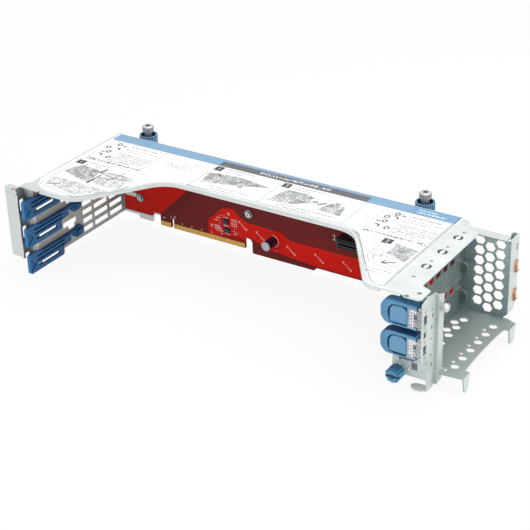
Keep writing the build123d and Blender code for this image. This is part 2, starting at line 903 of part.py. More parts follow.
def latch_shell(drop):
    """A blue cover, open behind, with a window for its button and a seat for the leaf."""
    low = -drop - latch_height / 2
    high = -drop + latch_height / 2
    middle = -drop + button_shift
    button_right = button_left + button_width
    groove_high = button_height / 2 + 1.0
    with BuildPart(TOP) as latch:
        with BuildSketch(FRONT.offset(-latch_back)):
            with BuildLine():
                FilletPolyline(
                    (latch_right, high),
                    (latch_left, high),
                    (latch_left, low),
                    (latch_right, low),
                    radius=latch_round,
                )
                Line((latch_right, low), (latch_right, high))
            make_face()
        extrude(amount=latch_back - latch_front)
        fillet(latch.faces().sort_by(Axis.Y)[0].edges().sort_by(Axis.X)[:-1], radius=latch_edge)
        with BuildSketch(FRONT.offset(-latch_back)):
            with BuildLine():
                FilletPolyline(
                    (latch_right, high - latch_wall),
                    (latch_left + latch_wall, high - latch_wall),
                    (latch_left + latch_wall, low + latch_wall),
                    (latch_right, low + latch_wall),
                    radius=latch_round - latch_wall,
                )
                Line((latch_right, low + latch_wall), (latch_right, high - latch_wall))
            make_face()
        extrude(amount=latch_back - latch_front - latch_web, mode=Mode.SUBTRACT)
        # A wide groove round three sides of the button
        with BuildSketch(FRONT.offset(-latch_front)):
            with BuildLine():
                FilletPolyline(
                    (button_right, middle + groove_high),
                    (button_left - groove_width, middle + groove_high),
                    (button_left - groove_width, middle - groove_high),
                    (button_right, middle - groove_high),
                    radius=button_round + groove_width,
                )
                Line((button_right, middle - groove_high), (button_right, middle + groove_high))
            make_face()
        extrude(amount=-groove_depth, mode=Mode.SUBTRACT)
        with BuildSketch(FRONT.offset(-latch_front)):
            with BuildLine():
                FilletPolyline(
                    *button_corners(drop, button_gap),
                    radius=button_radii(button_gap),
                    close=True,
                )
            make_face()
        extrude(amount=-latch_web, mode=Mode.SUBTRACT)
        slab(
            (leaf_left, latch_right + 1),
            (latch_front - 1, latch_front + leaf_thick),
            (-drop + leaf_foot, -drop + leaf_top),
            Mode.SUBTRACT,
        )
    return latch


def latch_button(drop):
    """A release button: a pad in the shell's window, with a wider lip behind it."""
    middle = (button_middle, -drop + button_shift)
    pad_face = latch_front + 0.2
    lip_near = latch_front + latch_web + 0.1
    with BuildPart() as button:
        with BuildSketch(FRONT.offset(-pad_face)):
            with BuildLine():
                FilletPolyline(*button_corners(drop, 0), radius=button_radii(0), close=True)
            make_face()
        extrude(amount=pad_face - lip_near - 0.5)
        chamfer(button.faces().sort_by(Axis.Y)[0].edges(), length=0.35)
        with BuildSketch(FRONT.offset(-lip_near)):
            with Locations(middle):
                Rectangle(
                    button_width + 2 * button_lip,
                    button_height + 2 * button_lip,
                )
        extrude(amount=-1.4)
    return button


def latch_leaf(drop):
    """A hinge leaf: a flat plate let into the shell, joined to a barrel round the pin."""
    with BuildPart(TOP) as leaf:
        slab(
            (leaf_left, latch_right),
            (latch_front, latch_front + leaf_thick),
            (-drop + leaf_foot, -drop + leaf_top),
        )
        slab(
            (latch_right, hinge_x),
            (latch_front, latch_front + leaf_thick),
            (-drop - lug_half, -drop + lug_half),
        )
        with BuildSketch(TOP.offset(-drop - lug_half)):
            with Locations((hinge_x, hinge_y)):
                Circle(hinge_barrel_radius)
        extrude(amount=2 * lug_half)
        with BuildSketch(TOP.offset(-drop - lug_half)):
            with Locations((hinge_x, hinge_y)):
                Circle(hinge_pin_radius + running_clearance)
        extrude(amount=2 * lug_half, mode=Mode.SUBTRACT)
    return leaf


upper_latch = latch_shell(latch_drops[0])
lower_latch = latch_shell(latch_drops[1])
upper_latch_button = latch_button(latch_drops[0])
lower_latch_button = latch_button(latch_drops[1])
upper_latch_leaf = latch_leaf(latch_drops[0])
lower_latch_leaf = latch_leaf(latch_drops[1])

# Captive screw on the panel: knob, shank, and the ferrule that keeps it
near_knob_back = 8.0
near_screw_tip = 20.0
near_thread_start = panel_near + sheet + clearance
knob_boss = 1.2
knob_bore = 3.0
ferrule_radius = 4.4
ferrule_collar = shank_radius + 1.0
bearing_gap = 0.1
near_screw_at = (near_screw_x, -near_screw_drop)

with BuildPart() as near_knob:
    with BuildSketch(FRONT.offset(-near_knob_back)):
        with Locations(near_screw_at):
            Circle(near_knob_radius)
            with PolarLocations(near_knob_radius + 1.2, 10):
                Circle(1.6, mode=Mode.SUBTRACT)
    extrude(amount=near_knob_back - near_knob_face - knob_boss)
    with BuildSketch(FRONT.offset(-near_knob_back)):
        with Locations(near_screw_at):
            Circle(near_knob_radius - 1.0)
    extrude(amount=near_knob_back - near_knob_face)
    chamfer(near_knob.faces().sort_by(Axis.Y)[0].edges(), length=0.5)
    with BuildSketch(FRONT.offset(-near_knob_face)):
        with Locations(near_screw_at):
            Rectangle(2 * near_knob_radius, 1.6)
            RegularPolygon(2.0, 6)
    extrude(amount=-2.6, mode=Mode.SUBTRACT)
    with BuildSketch(FRONT.offset(-near_knob_back)):
        with Locations(near_screw_at):
            Circle(shank_radius)
    extrude(amount=knob_bore, mode=Mode.SUBTRACT)

with BuildPart() as near_screw:
    with BuildSketch(FRONT.offset(-near_screw_tip)):
        with Locations(near_screw_at):
            Circle(shank_radius)
    extrude(amount=near_screw_tip - near_knob_back + knob_bore)
    with BuildSketch(FRONT.offset(-near_screw_tip)):
        with Locations(near_screw_at):
            Circle(thread_radius)
    extrude(amount=near_screw_tip - near_thread_start)
    chamfer(near_screw.edges().group_by(Axis.Y)[-1], length=0.5)

with BuildPart() as near_ferrule:
    with BuildSketch(FRONT.offset(-panel_near)):
        with Locations(near_screw_at):
            Circle(ferrule_radius)
    extrude(amount=panel_near - near_knob_back - bearing_gap)
    with BuildSketch(FRONT.offset(-panel_near)):
        with Locations(near_screw_at):
            Circle(ferrule_collar)
    extrude(amount=-sheet)
    with BuildSketch(FRONT.offset(-panel_near - sheet)):
        with Locations(near_screw_at):
            Circle(shank_radius + running_clearance)
    extrude(amount=panel_near + sheet - near_knob_back, mode=Mode.SUBTRACT)

# Two captive screws on the rear wall's ears
knob_recess_radius = 6.0
knob_recess = 2.6
neck_radius = 3.2
head_foot = 4.6
rear_screw_drop = 22.0
rear_thread_start = screw_ear_drop + clearance
knurl_count = 24


def rear_knob(x):
    """A knurled blue ring with a deep recess round the screw's neck."""
    with BuildPart() as knob:
        with BuildSketch(TOP.offset(-rear_knob_drop)):
            with Locations((x, rear_screw_y)):
                Circle(rear_knob_radius)
                with PolarLocations(rear_knob_radius + 0.1, knurl_count):
                    Rectangle(0.9, 0.9, rotation=45, mode=Mode.SUBTRACT)
        extrude(amount=rear_knob_drop + rear_knob_top)
        with BuildSketch(TOP.offset(rear_knob_top)):
            with Locations((x, rear_screw_y)):
                Circle(knob_recess_radius)
        extrude(amount=-knob_recess, mode=Mode.SUBTRACT)
        with BuildSketch(TOP.offset(-rear_knob_drop)):
            with Locations((x, rear_screw_y)):
                Circle(neck_radius)
        extrude(amount=rear_knob_drop + rear_knob_top, mode=Mode.SUBTRACT)
    return knob


def rear_screw(x):
    """A screw with a recessed head, a neck that the ring grips, and a plain tip."""
    with BuildPart() as screw:
        with BuildSketch(TOP.offset(-rear_knob_drop)):
            with Locations((x, rear_screw_y)):
                Circle(neck_radius)
        extrude(amount=rear_knob_drop + screw_head_top)
        with BuildSketch(TOP.offset(head_foot)):
            with Locations((x, rear_screw_y)):
                Circle(screw_head_radius)
        extrude(amount=screw_head_top - head_foot)
        chamfer(screw.edges().group_by(Axis.Z)[-1], length=0.6)
        with BuildSketch(TOP.offset(screw_head_top)):
            with Locations((x, rear_screw_y)):
                RegularPolygon(2.3, 6)
        extrude(amount=-2.4, mode=Mode.SUBTRACT)
        with BuildSketch(TOP.offset(-rear_screw_drop)):
            with Locations((x, rear_screw_y)):
                Circle(shank_radius)
        extrude(amount=rear_screw_drop - rear_knob_drop)
        with BuildSketch(TOP.offset(-rear_screw_drop)):
            with Locations((x, rear_screw_y)):
                Circle(thread_radius)
        extrude(amount=rear_screw_drop - rear_thread_start)
        chamfer(screw.edges().group_by(Axis.Z)[0], length=0.5)
    return screw


rear_left_knob = rear_knob(rear_screw_left)
rear_right_knob = rear_knob(rear_screw_right)
rear_left_screw = rear_screw(rear_screw_left)
rear_right_screw = rear_screw(rear_screw_right)
rear_places = [(rear_screw_left, rear_screw_y), (rear_screw_right, rear_screw_y)]

with BuildPart() as rear_ferrules:
    with BuildSketch(TOP.offset(-screw_ear_drop + sheet)):
        with Locations(*rear_places):
            Circle(ferrule_radius)
    extrude(amount=screw_ear_drop - sheet - rear_knob_drop - bearing_gap)
    with BuildSketch(TOP.offset(-screw_ear_drop)):
        with Locations(*rear_places):
            Circle(shank_radius + 1.5)
    extrude(amount=sheet)
    with BuildSketch(TOP.offset(-screw_ear_drop)):
        with Locations(*rear_places):
            Circle(shank_radius + running_clearance)
    extrude(amount=screw_ear_drop - rear_knob_drop, mode=Mode.SUBTRACT)

# Label and write every piece
top_plate.part.label = "top_plate"
export_step(top_plate.part, "parts/top_plate.step")
label_sheet.part.label = "label_sheet"
export_step(label_sheet.part, "parts/label_sheet.step")
left_bracket.part.label = "left_bracket"
export_step(left_bracket.part, "parts/left_bracket.step")
bracket_stud.part.label = "bracket_stud"
export_step(bracket_stud.part, "parts/bracket_stud.step")
upper_card_retainer.part.label = "upper_card_retainer"
export_step(upper_card_retainer.part, "parts/upper_card_retainer.step")
middle_card_retainer.part.label = "middle_card_retainer"
export_step(middle_card_retainer.part, "parts/middle_card_retainer.step")
lower_card_retainer.part.label = "lower_card_retainer"
export_step(lower_card_retainer.part, "parts/lower_card_retainer.step")
riser_board.part.label = "riser_board"
export_step(riser_board.part, "parts/riser_board.step")
edge_contacts.part.label = "edge_contacts"
export_step(edge_contacts.part, "parts/edge_contacts.step")
upper_slot_connector.part.label = "upper_slot_connector"
export_step(upper_slot_connector.part, "parts/upper_slot_connector.step")
lower_slot_connector.part.label = "lower_slot_connector"
export_step(lower_slot_connector.part, "parts/lower_slot_connector.step")
capacitor.part.label = "capacitor"
export_step(capacitor.part, "parts/capacitor.step")
control_chip.part.label = "control_chip"
export_step(control_chip.part, "parts/control_chip.step")
power_chip.part.label = "power_chip"
export_step(power_chip.part, "parts/power_chip.step")
board_standoffs.part.label = "board_standoffs"
export_step(board_standoffs.part, "parts/board_standoffs.step")
board_screws.part.label = "board_screws"
export_step(board_screws.part, "parts/board_screws.step")
io_wall.part.label = "io_wall"
export_step(io_wall.part, "parts/io_wall.step")
upper_slot_cover.part.label = "upper_slot_cover"
export_step(upper_slot_cover.part, "parts/upper_slot_cover.step")
lower_slot_cover.part.label = "lower_slot_cover"
export_step(lower_slot_cover.part, "parts/lower_slot_cover.step")
honeycomb_bracket.part.label = "honeycomb_bracket"
export_step(honeycomb_bracket.part, "parts/honeycomb_bracket.step")
emi_springs.part.label = "emi_springs"
export_step(emi_springs.part, "parts/emi_springs.step")
latch_post.part.label = "latch_post"
export_step(latch_post.part, "parts/latch_post.step")
latch_pins.part.label = "latch_pins"
export_step(latch_pins.part, "parts/latch_pins.step")
post_stud.part.label = "post_stud"
export_step(post_stud.part, "parts/post_stud.step")
upper_latch.part.label = "upper_latch"
export_step(upper_latch.part, "parts/upper_latch.step")
lower_latch.part.label = "lower_latch"
export_step(lower_latch.part, "parts/lower_latch.step")
upper_latch_button.part.label = "upper_latch_button"
export_step(upper_latch_button.part, "parts/upper_latch_button.step")
lower_latch_button.part.label = "lower_latch_button"
export_step(lower_latch_button.part, "parts/lower_latch_button.step")
upper_latch_leaf.part.label = "upper_latch_leaf"
export_step(upper_latch_leaf.part, "parts/upper_latch_leaf.step")
lower_latch_leaf.part.label = "lower_latch_leaf"
export_step(lower_latch_leaf.part, "parts/lower_latch_leaf.step")
near_knob.part.label = "near_knob"
export_step(near_knob.part, "parts/near_knob.step")
near_screw.part.label = "near_screw"
export_step(near_screw.part, "parts/near_screw.step")
near_ferrule.part.label = "near_ferrule"
export_step(near_ferrule.part, "parts/near_ferrule.step")
rear_left_knob.part.label = "rear_left_knob"
export_step(rear_left_knob.part, "parts/rear_left_knob.step")
rear_right_knob.part.label = "rear_right_knob"
export_step(rear_right_knob.part, "parts/rear_right_knob.step")
rear_left_screw.part.label = "rear_left_screw"
export_step(rear_left_screw.part, "parts/rear_left_screw.step")
rear_right_screw.part.label = "rear_right_screw"
export_step(rear_right_screw.part, "parts/rear_right_screw.step")
rear_ferrules.part.label = "rear_ferrules"
export_step(rear_ferrules.part, "parts/rear_ferrules.step")
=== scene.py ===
"""Server riser cage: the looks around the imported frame, in metres."""
import math

import bmesh
import bpy
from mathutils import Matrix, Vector


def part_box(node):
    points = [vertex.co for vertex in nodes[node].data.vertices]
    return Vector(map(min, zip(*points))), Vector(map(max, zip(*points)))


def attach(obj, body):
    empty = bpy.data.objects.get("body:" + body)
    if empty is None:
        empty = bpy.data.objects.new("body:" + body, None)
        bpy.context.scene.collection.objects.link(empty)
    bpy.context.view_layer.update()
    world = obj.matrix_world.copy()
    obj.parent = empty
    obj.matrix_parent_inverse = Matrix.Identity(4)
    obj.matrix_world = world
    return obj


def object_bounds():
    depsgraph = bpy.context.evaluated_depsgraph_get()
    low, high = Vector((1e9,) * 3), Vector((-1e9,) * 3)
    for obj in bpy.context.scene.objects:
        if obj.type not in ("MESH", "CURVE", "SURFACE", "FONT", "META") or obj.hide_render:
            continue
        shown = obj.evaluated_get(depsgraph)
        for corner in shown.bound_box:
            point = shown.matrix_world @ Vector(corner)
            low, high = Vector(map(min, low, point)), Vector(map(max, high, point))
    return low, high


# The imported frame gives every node's place. Three of its faces are the datum that the places
# below are measured from, in millimetres: end bracket, near flange and the plate's upper face.
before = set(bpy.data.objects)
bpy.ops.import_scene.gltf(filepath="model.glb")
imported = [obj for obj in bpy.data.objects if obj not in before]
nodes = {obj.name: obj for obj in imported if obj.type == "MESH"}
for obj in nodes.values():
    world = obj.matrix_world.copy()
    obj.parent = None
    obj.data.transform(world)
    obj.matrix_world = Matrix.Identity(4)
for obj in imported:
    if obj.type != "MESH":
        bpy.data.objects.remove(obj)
cad_box = [list(corner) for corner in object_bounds()]
flange_reach = 10.5
bracket_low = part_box("left_bracket")[0]
plate_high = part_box("top_plate")[1]
datum = Vector((bracket_low[0] + flange_reach / 1000, bracket_low[1], plate_high[2]))
bpy.ops.object.select_all(action="DESELECT")


def place(x, y, z):
    """A place in millimetres from the datum faces, in the scene's metres."""
    return datum + Vector((x, y, z)) / 1000


# Camera at the photograph's angle, found from its three vanishing directions.
bpy.ops.object.camera_add(
    location=place(724.65, -743.29, 478.0),
    rotation=(math.radians(61.592), math.radians(1.512), math.radians(32.806)),
)
camera = bpy.context.object
camera.data.sensor_width = 36.0
camera.data.lens = 98.74
camera.data.clip_end = 20.0
bpy.context.scene.camera = camera

# Studio: a pale floor, a soft sky and three large lamps. White behind the object comes from
# Light Path in the floor and the sky, so no extra light falls on the metal.
bpy.ops.mesh.primitive_plane_add(size=12.0, location=(0, 0, cad_box[0][2] - 0.0005))
floor = bpy.context.object
floor.name = "floor"


def new_material(name):
    """A material with an empty node tree but for its shader and output."""
    material = bpy.data.materials.new(name)
    material.use_nodes = True
    return material, material.node_tree, material.node_tree.nodes["Principled BSDF"]


def link(tree, source, output, target, entry):
    """Joins one node's output socket to another's input socket."""
    tree.links.new(source.outputs[output], target.inputs[entry])


def calculation(tree, operation, second=None):
    """A Math node for one operation, with its second number where that is fixed."""
    node = tree.nodes.new("ShaderNodeMath")
    node.operation = operation
    if second is not None:
        node.inputs[1].default_value = second
    return node


floor_material, tree, shader = new_material("studio_floor")
shader.inputs["Base Color"].default_value = (0.86, 0.86, 0.86, 1)
shader.inputs["Roughness"].default_value = 0.9
shader.inputs["Specular IOR Level"].default_value = 0.1
path = tree.nodes.new("ShaderNodeLightPath")
seen = calculation(tree, "MAXIMUM")
link(tree, path, "Is Camera Ray", seen, 0)
link(tree, path, "Is Glossy Ray", seen, 1)
share = calculation(tree, "MULTIPLY", 0.9)
link(tree, seen, "Value", share, 0)
glow = tree.nodes.new("ShaderNodeEmission")
blend = tree.nodes.new("ShaderNodeMixShader")
link(tree, share, "Value", blend, "Fac")
link(tree, shader, "BSDF", blend, 1)
link(tree, glow, "Emission", blend, 2)
link(tree, blend, "Shader", tree.nodes["Material Output"], "Surface")
floor.data.materials.append(floor_material)

world = bpy.data.worlds.new("studio_sky")
bpy.context.scene.world = world
world.use_nodes = True
tree = world.node_tree
sky = tree.nodes["Background"]
sky.inputs["Color"].default_value = (1, 1, 1, 1)
sky.inputs["Strength"].default_value = 0.42
white = tree.nodes.new("ShaderNodeBackground")
white.inputs["Color"].default_value = (1, 1, 1, 1)
white.inputs["Strength"].default_value = 1.0
path = tree.nodes.new("ShaderNodeLightPath")
blend = tree.nodes.new("ShaderNodeMixShader")
link(tree, path, "Is Camera Ray", blend, "Fac")
link(tree, sky, "Background", blend, 1)
link(tree, white, "Background", blend, 2)
link(tree, blend, "Shader", tree.nodes["World Output"], "Surface")


def soft_lamp(name, location, target, width, power):
    """A square lamp at a place, turned to face a target."""
    turn = (Vector(target) - Vector(location)).to_track_quat("-Z", "Y").to_euler()
    bpy.ops.object.light_add(type="AREA", location=location, rotation=turn)
    lamp = bpy.context.object
    lamp.name = name
    lamp.data.size = width
    lamp.data.energy = power


soft_lamp("top_lamp", (0.1, 0.25, 1.5), (0, 0, 0), 1.6, 17)
soft_lamp("near_lamp", (-0.5, -1.5, 0.9), (0, 0, 0), 0.9, 9)
soft_lamp("right_lamp", (1.5, 0.1, 0.6), (0.1, 0, 0), 0.9, 10)
bpy.context.scene.view_settings.view_transform = "Standard"

# Top plate: one sheet of zinc-plated steel, folded down into the near flange, the rear wall and the
# ears, and left bare. The plating, which all the sheet pieces share, is a pale greenish grey with a
# faint grain, cloudy patches and fine rolling lines. Its upward faces are painted lighter as
# painted light, and its bends carry a painted highlight.


def noise(tree, scale, detail=2.0):
    """A noise texture of one size."""
    node = tree.nodes.new("ShaderNodeTexNoise")
    node.inputs["Scale"].default_value = scale
    node.inputs["Detail"].default_value = detail
    return node


def between(tree, low, high):
    """A Map Range node that rises from nought to one between two values."""
    node = tree.nodes.new("ShaderNodeMapRange")
    node.inputs["From Min"].default_value = low
    node.inputs["From Max"].default_value = high
    return node


def colour_mix(tree, first=None, second=None):
    """A node that blends two colours. A colour given here is set on the node's own socket."""
    node = tree.nodes.new("ShaderNodeMix")
    node.data_type = "RGBA"
    for entry, colour in (("A", first), ("B", second)):
        if colour is not None:
            node.inputs[entry].default_value = (*colour, 1)
    return node


grain = bpy.data.node_groups.new("plate_grain", "ShaderNodeTree")
for entry, kind, value in (
    ("Colour", "NodeSocketColor", (0.8, 0.8, 0.8, 1)),
    ("Shade", "NodeSocketColor", (0.6, 0.6, 0.6, 1)),
    ("Roughness", "NodeSocketFloat", 0.4),
    ("Scale", "NodeSocketFloat", 40.0),
):
    socket = grain.interface.new_socket(entry, in_out="INPUT", socket_type=kind)
    socket.default_value = value
for entry, kind in (
    ("Colour", "NodeSocketColor"),
    ("Roughness", "NodeSocketFloat"),
    ("Height", "NodeSocketFloat"),
):
    grain.interface.new_socket(entry, in_out="OUTPUT", socket_type=kind)
given = grain.nodes.new("NodeGroupInput")
made = grain.nodes.new("NodeGroupOutput")
where = grain.nodes.new("ShaderNodeTexCoord")
clouds = noise(grain, 40.0, 4.0)
lines = noise(grain, 90.0, 3.0)
stretch = grain.nodes.new("ShaderNodeMapping")
stretch.inputs["Scale"].default_value = (0.12, 6.0, 6.0)
fine = noise(grain, 900.0)
both = calculation(grain, "MULTIPLY")
spread = between(grain, 0.15, 0.4)
tint = colour_mix(grain)
rough = calculation(grain, "MULTIPLY_ADD", 0.16)
rise = calculation(grain, "MULTIPLY_ADD", 0.5)
link(grain, where, "Object", clouds, "Vector")
link(grain, given, "Scale", clouds, "Scale")
link(grain, where, "Object", stretch, "Vector")
link(grain, stretch, "Vector", lines, "Vector")
link(grain, where, "Object", fine, "Vector")
link(grain, clouds, "Fac", both, 0)
link(grain, lines, "Fac", both, 1)
link(grain, both, "Value", spread, "Value")
link(grain, spread, "Result", tint, "Factor")
link(grain, given, "Shade", tint, "A")
link(grain, given, "Colour", tint, "B")
link(grain, clouds, "Fac", rough, 0)
link(grain, given, "Roughness", rough, 2)
link(grain, fine, "Fac", rise, 0)
link(grain, lines, "Fac", rise, 2)
link(grain, tint, "Result", made, "Colour")
link(grain, rough, "Value", made, "Roughness")
link(grain, rise, "Value", made, "Height")


def facing(tree, directions, low=0.35, high=0.8):
    """A mask of the faces turned towards any of these directions."""
    turned = tree.nodes.new("ShaderNodeNewGeometry")
    mask = None
    for direction in directions:
        along = tree.nodes.new("ShaderNodeVectorMath")
        along.operation = "DOT_PRODUCT"
        along.inputs[1].default_value = direction
        link(tree, turned, "Normal", along, 0)
        soft = between(tree, low, high)
        link(tree, along, "Value", soft, "Value")
        if mask is None:
            mask = soft
            mask_output = "Result"
            continue
        most = calculation(tree, "MAXIMUM")
        link(tree, mask, mask_output, most, 0)
        link(tree, soft, "Result", most, 1)
        mask = most
        mask_output = "Value"
    return mask, mask_output


def sheet_metal(name, colour, shade, roughness, metallic, turned=None, bump=0.06):
    """Plated sheet with the shared grain. turned gives painted light and shade: other tones for
    faces turned some directions.
    """
    material, tree, shader = new_material(name)
    texture = tree.nodes.new("ShaderNodeGroup")
    texture.node_tree = grain
    texture.inputs["Colour"].default_value = (*colour, 1)
    texture.inputs["Shade"].default_value = (*shade, 1)
    texture.inputs["Roughness"].default_value = roughness
    dent = tree.nodes.new("ShaderNodeBump")
    dent.inputs["Strength"].default_value = bump
    dent.inputs["Distance"].default_value = 0.0004
    if turned is None:
        link(tree, texture, "Colour", shader, "Base Color")
    else:
        tone, directions = turned
        mask, mask_output = facing(tree, directions)
        other = tree.nodes.new("ShaderNodeGroup")
        other.node_tree = grain
        other.inputs["Colour"].default_value = (*tone, 1)
        other.inputs["Shade"].default_value = (*[part * 0.86 for part in tone], 1)
        pick = colour_mix(tree)
        link(tree, mask, mask_output, pick, "Factor")
        link(tree, texture, "Colour", pick, "A")
        link(tree, other, "Colour", pick, "B")
        link(tree, pick, "Result", shader, "Base Color")
    link(tree, texture, "Roughness", shader, "Roughness")
    link(tree, texture, "Height", dent, "Height")
    link(tree, dent, "Normal", shader, "Normal")
    shader.inputs["Metallic"].default_value = metallic
    return material


def dress(names, material):
    """Gives CAD nodes their material."""
    for name in names:
        node = nodes[name]
        if not node.material_slots:
            node.data.materials.append(material)
        for slot in node.material_slots:
            slot.material = material


def tone_over(material, mask, mask_output, tone):
    """Lays another tone over a material's colour wherever the mask is white."""
    tree = material.node_tree
    shader = tree.nodes["Principled BSDF"]
    current = shader.inputs["Base Color"].links[0].from_socket
    pick = colour_mix(tree, second=tone)
    tree.links.new(current, pick.inputs["A"])
    link(tree, mask, mask_output, pick, "Factor")
    link(tree, pick, "Result", shader, "Base Color")


def beyond(tree, directions, axis, test, limit):
    """A mask of the faces turned in these directions that also pass a test along one axis."""
    where = tree.nodes.new("ShaderNodeTexCoord")
    parts = tree.nodes.new("ShaderNodeSeparateXYZ")
    passed = calculation(tree, test, limit)
    mask, mask_output = facing(tree, directions)
    both = calculation(tree, "MULTIPLY")
    link(tree, where, "Object", parts, "Vector")
    link(tree, parts, axis, passed, 0)
    link(tree, passed, "Value", both, 0)
    link(tree, mask, mask_output, both, 1)
    return both, "Value"


pale_steel = (0.80, 0.84, 0.83)
painted_lit_steel = (0.91, 0.95, 0.945)
up = [(0, 0, 1)]
right = [(1, 0, 0)]
near = [(0, -1, 0)]
# Painted light: faces turned up take a lighter tone.
plated = sheet_metal(
    "plated_steel", pale_steel, (0.66, 0.71, 0.70), 0.38, 0.45, (painted_lit_steel, up)
)
tree = plated.node_tree
# Painted highlight along the bends: faces leaning between level and upright are made near white.
leaning, leaning_output = facing(tree, up, 0.15, 0.45)
level, level_output = facing(tree, up, 0.93, 0.995)
rounded = calculation(tree, "SUBTRACT")
link(tree, leaning, leaning_output, rounded, 0)
link(tree, level, level_output, rounded, 1)
tone_over(plated, rounded, "Value", (0.98, 0.99, 0.99))
dress(["top_plate"], plated)

# Latch post: a folded post and panel of plated steel that carries the latches and the near screw.
# Its cut faces towards the right are the brightest, with a painted-light tone of their own, and its
# level foot is painted pale as a painted highlight.
post_plated = sheet_metal(
    "plated_steel_post", (0.66, 0.72, 0.72), (0.50, 0.56, 0.56), 0.38, 0.45,
    ((0.66, 0.72, 0.70), right),
)
# Painted highlight: upward faces low on the post, the foot, are made near white.
foot = beyond(post_plated.node_tree, up, "Z", "LESS_THAN", place(0, 0, -60).z)
tone_over(post_plated, *foot, (0.95, 0.97, 0.965))
dress(["latch_post"], post_plated)

# Left end bracket: a windowed wall of plated steel with a joggle and an outward near flange. The
# wall's colour is painted shade with a warm painted reflection. Its upward and near faces are
# painted lighter as painted light, and the bend to the flange is pale, a painted highlight.
painted_shade_plated = sheet_metal(
    "plated_steel_painted_shade", (0.49, 0.51, 0.48), (0.36, 0.38, 0.36), 0.45, 0.4, (pale_steel, up)
)
tree = painted_shade_plated.node_tree
# Painted shade: right-facing faces of the joggle near the front are made dark.
joggle = beyond(tree, right, "Y", "LESS_THAN", place(0, 9, 0).y)
tone_over(painted_shade_plated, *joggle, (0.17, 0.20, 0.22))
# Painted light on the near faces, and a painted highlight where the wall bends into the flange.
tone_over(painted_shade_plated, *facing(tree, near), (0.68, 0.72, 0.71))
tone_over(painted_shade_plated, *facing(tree, [(0.707, -0.707, 0)], 0.86, 0.97), (0.82, 0.86, 0.84))
dress(["left_bracket"], painted_shade_plated)

# Vent bracket: the hexagon grille, the right flange, the bottom plate and its two hooks, cut and
# folded from one sheet. Its inner faces are a blue-green painted shade, and its upward and right
# faces are painted lighter as painted light. Its bottom is painted duller than its edges as painted
# shade.
inner_plated = sheet_metal(
    "plated_steel_inner", (0.50, 0.61, 0.62), (0.36, 0.45, 0.46), 0.42, 0.5, (pale_steel, up)
)
tree = inner_plated.node_tree
# Painted shade on the bottom plate's upper face, and painted light on faces turned right.
bottom = beyond(tree, up, "Z", "LESS_THAN", place(0, 0, -30).z)
tone_over(inner_plated, *bottom, (0.40, 0.45, 0.445))
tone_over(inner_plated, *facing(tree, right), (0.64, 0.69, 0.67))
dress(["honeycomb_bracket"], inner_plated)

# I/O wall and slot covers: a pressed frame of plated steel and the two slotted blanks that close
# its openings. They stand deep in the end, and their dark colour is painted shade, with painted
# light on faces turned up.
wall_plated = sheet_metal(
    "plated_steel_wall", (0.22, 0.28, 0.27), (0.14, 0.18, 0.18), 0.40, 0.5, (pale_steel, up)
)
dress(["io_wall", "upper_slot_cover", "lower_slot_cover"], wall_plated)

# Label: a white printed film stuck on the plate. Its print is fields of colour, frames, plain
# numbers, small drawings in grey lines, and rows of letter-sized broken marks.


def plastic(name, colour, roughness, mottle=0.06, scale=60.0, bump=0.03, metallic=0.0, turned=None):
    """Moulded or painted surface with slight colour and roughness variation. turned lays another
    tone, painted light and shade, on faces turned some ways.
    """
    material, tree, shader = new_material(name)
    where = tree.nodes.new("ShaderNodeTexCoord")
    patches = noise(tree, scale, 5.0)
    darker = [part * (1 - mottle) for part in colour]
    paler = [min(1, part * (1 + mottle)) for part in colour]
    tint = colour_mix(tree, darker, paler)
    rough = calculation(tree, "MULTIPLY_ADD", 0.12)
    rough.inputs[2].default_value = roughness - 0.06
    grit = noise(tree, 1400.0)
    dent = tree.nodes.new("ShaderNodeBump")
    dent.inputs["Strength"].default_value = bump
    dent.inputs["Distance"].default_value = 0.0003
    link(tree, where, "Object", patches, "Vector")
    link(tree, where, "Object", grit, "Vector")
    link(tree, patches, "Fac", tint, "Factor")
    link(tree, patches, "Fac", rough, 0)
    link(tree, tint, "Result", shader, "Base Color")
    link(tree, rough, "Value", shader, "Roughness")
    link(tree, grit, "Fac", dent, "Height")
    link(tree, dent, "Normal", shader, "Normal")
    shader.inputs["Metallic"].default_value = metallic
    if turned is not None:
        tone, directions = turned
        tone_over(material, *facing(tree, directions), tone)
    return material


def upper_side(z):
    """A face turned upwards: how its places are put in the scene, and its outward direction."""
    return (lambda x, y: place(x, y, z), Vector((0, 0, 1)))


dress(["label_sheet"], plastic("label_film", (0.96, 0.97, 0.975), 0.5, mottle=0.01, bump=0.01))
label_top = 0.25
plate_face = upper_side(label_top + 0.01)
raised = upper_side(label_top + 0.05)
over = upper_side(label_top + 0.09)


def ink(name, outlines, face, material, body="cage", coat=0.03):
    """One coat of ink: a thin raised face for each outline, laid on a face of the object."""
    put, outward = face
    bpy.ops.object.select_all(action="DESELECT")
    bpy.ops.mesh.primitive_circle_add(vertices=len(outlines[0]), fill_type="NGON")
    piece = bpy.context.object
    piece.name = name
    bpy.ops.object.mode_set(mode="EDIT")
    for outline in outlines[1:]:
        bpy.ops.mesh.primitive_circle_add(vertices=len(outline), fill_type="NGON")
    shape = bmesh.from_edit_mesh(piece.data)
    corners = [corner for outline in outlines for corner in outline]
    for vert, corner in zip(shape.verts, corners):
        vert.co = put(*corner)
    shape.normal_update()
    for side in shape.faces:
        if side.normal.dot(outward) < 0:
            side.normal_flip()
    bmesh.update_edit_mesh(piece.data)
    bpy.ops.object.mode_set(mode="OBJECT")
    thickness = piece.modifiers.new("coat", "SOLIDIFY")
    thickness.thickness = coat / 1000
    thickness.offset = 1.0
    bpy.ops.object.modifier_apply(modifier="coat")
    piece.data.materials.append(material)
    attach(piece, body)


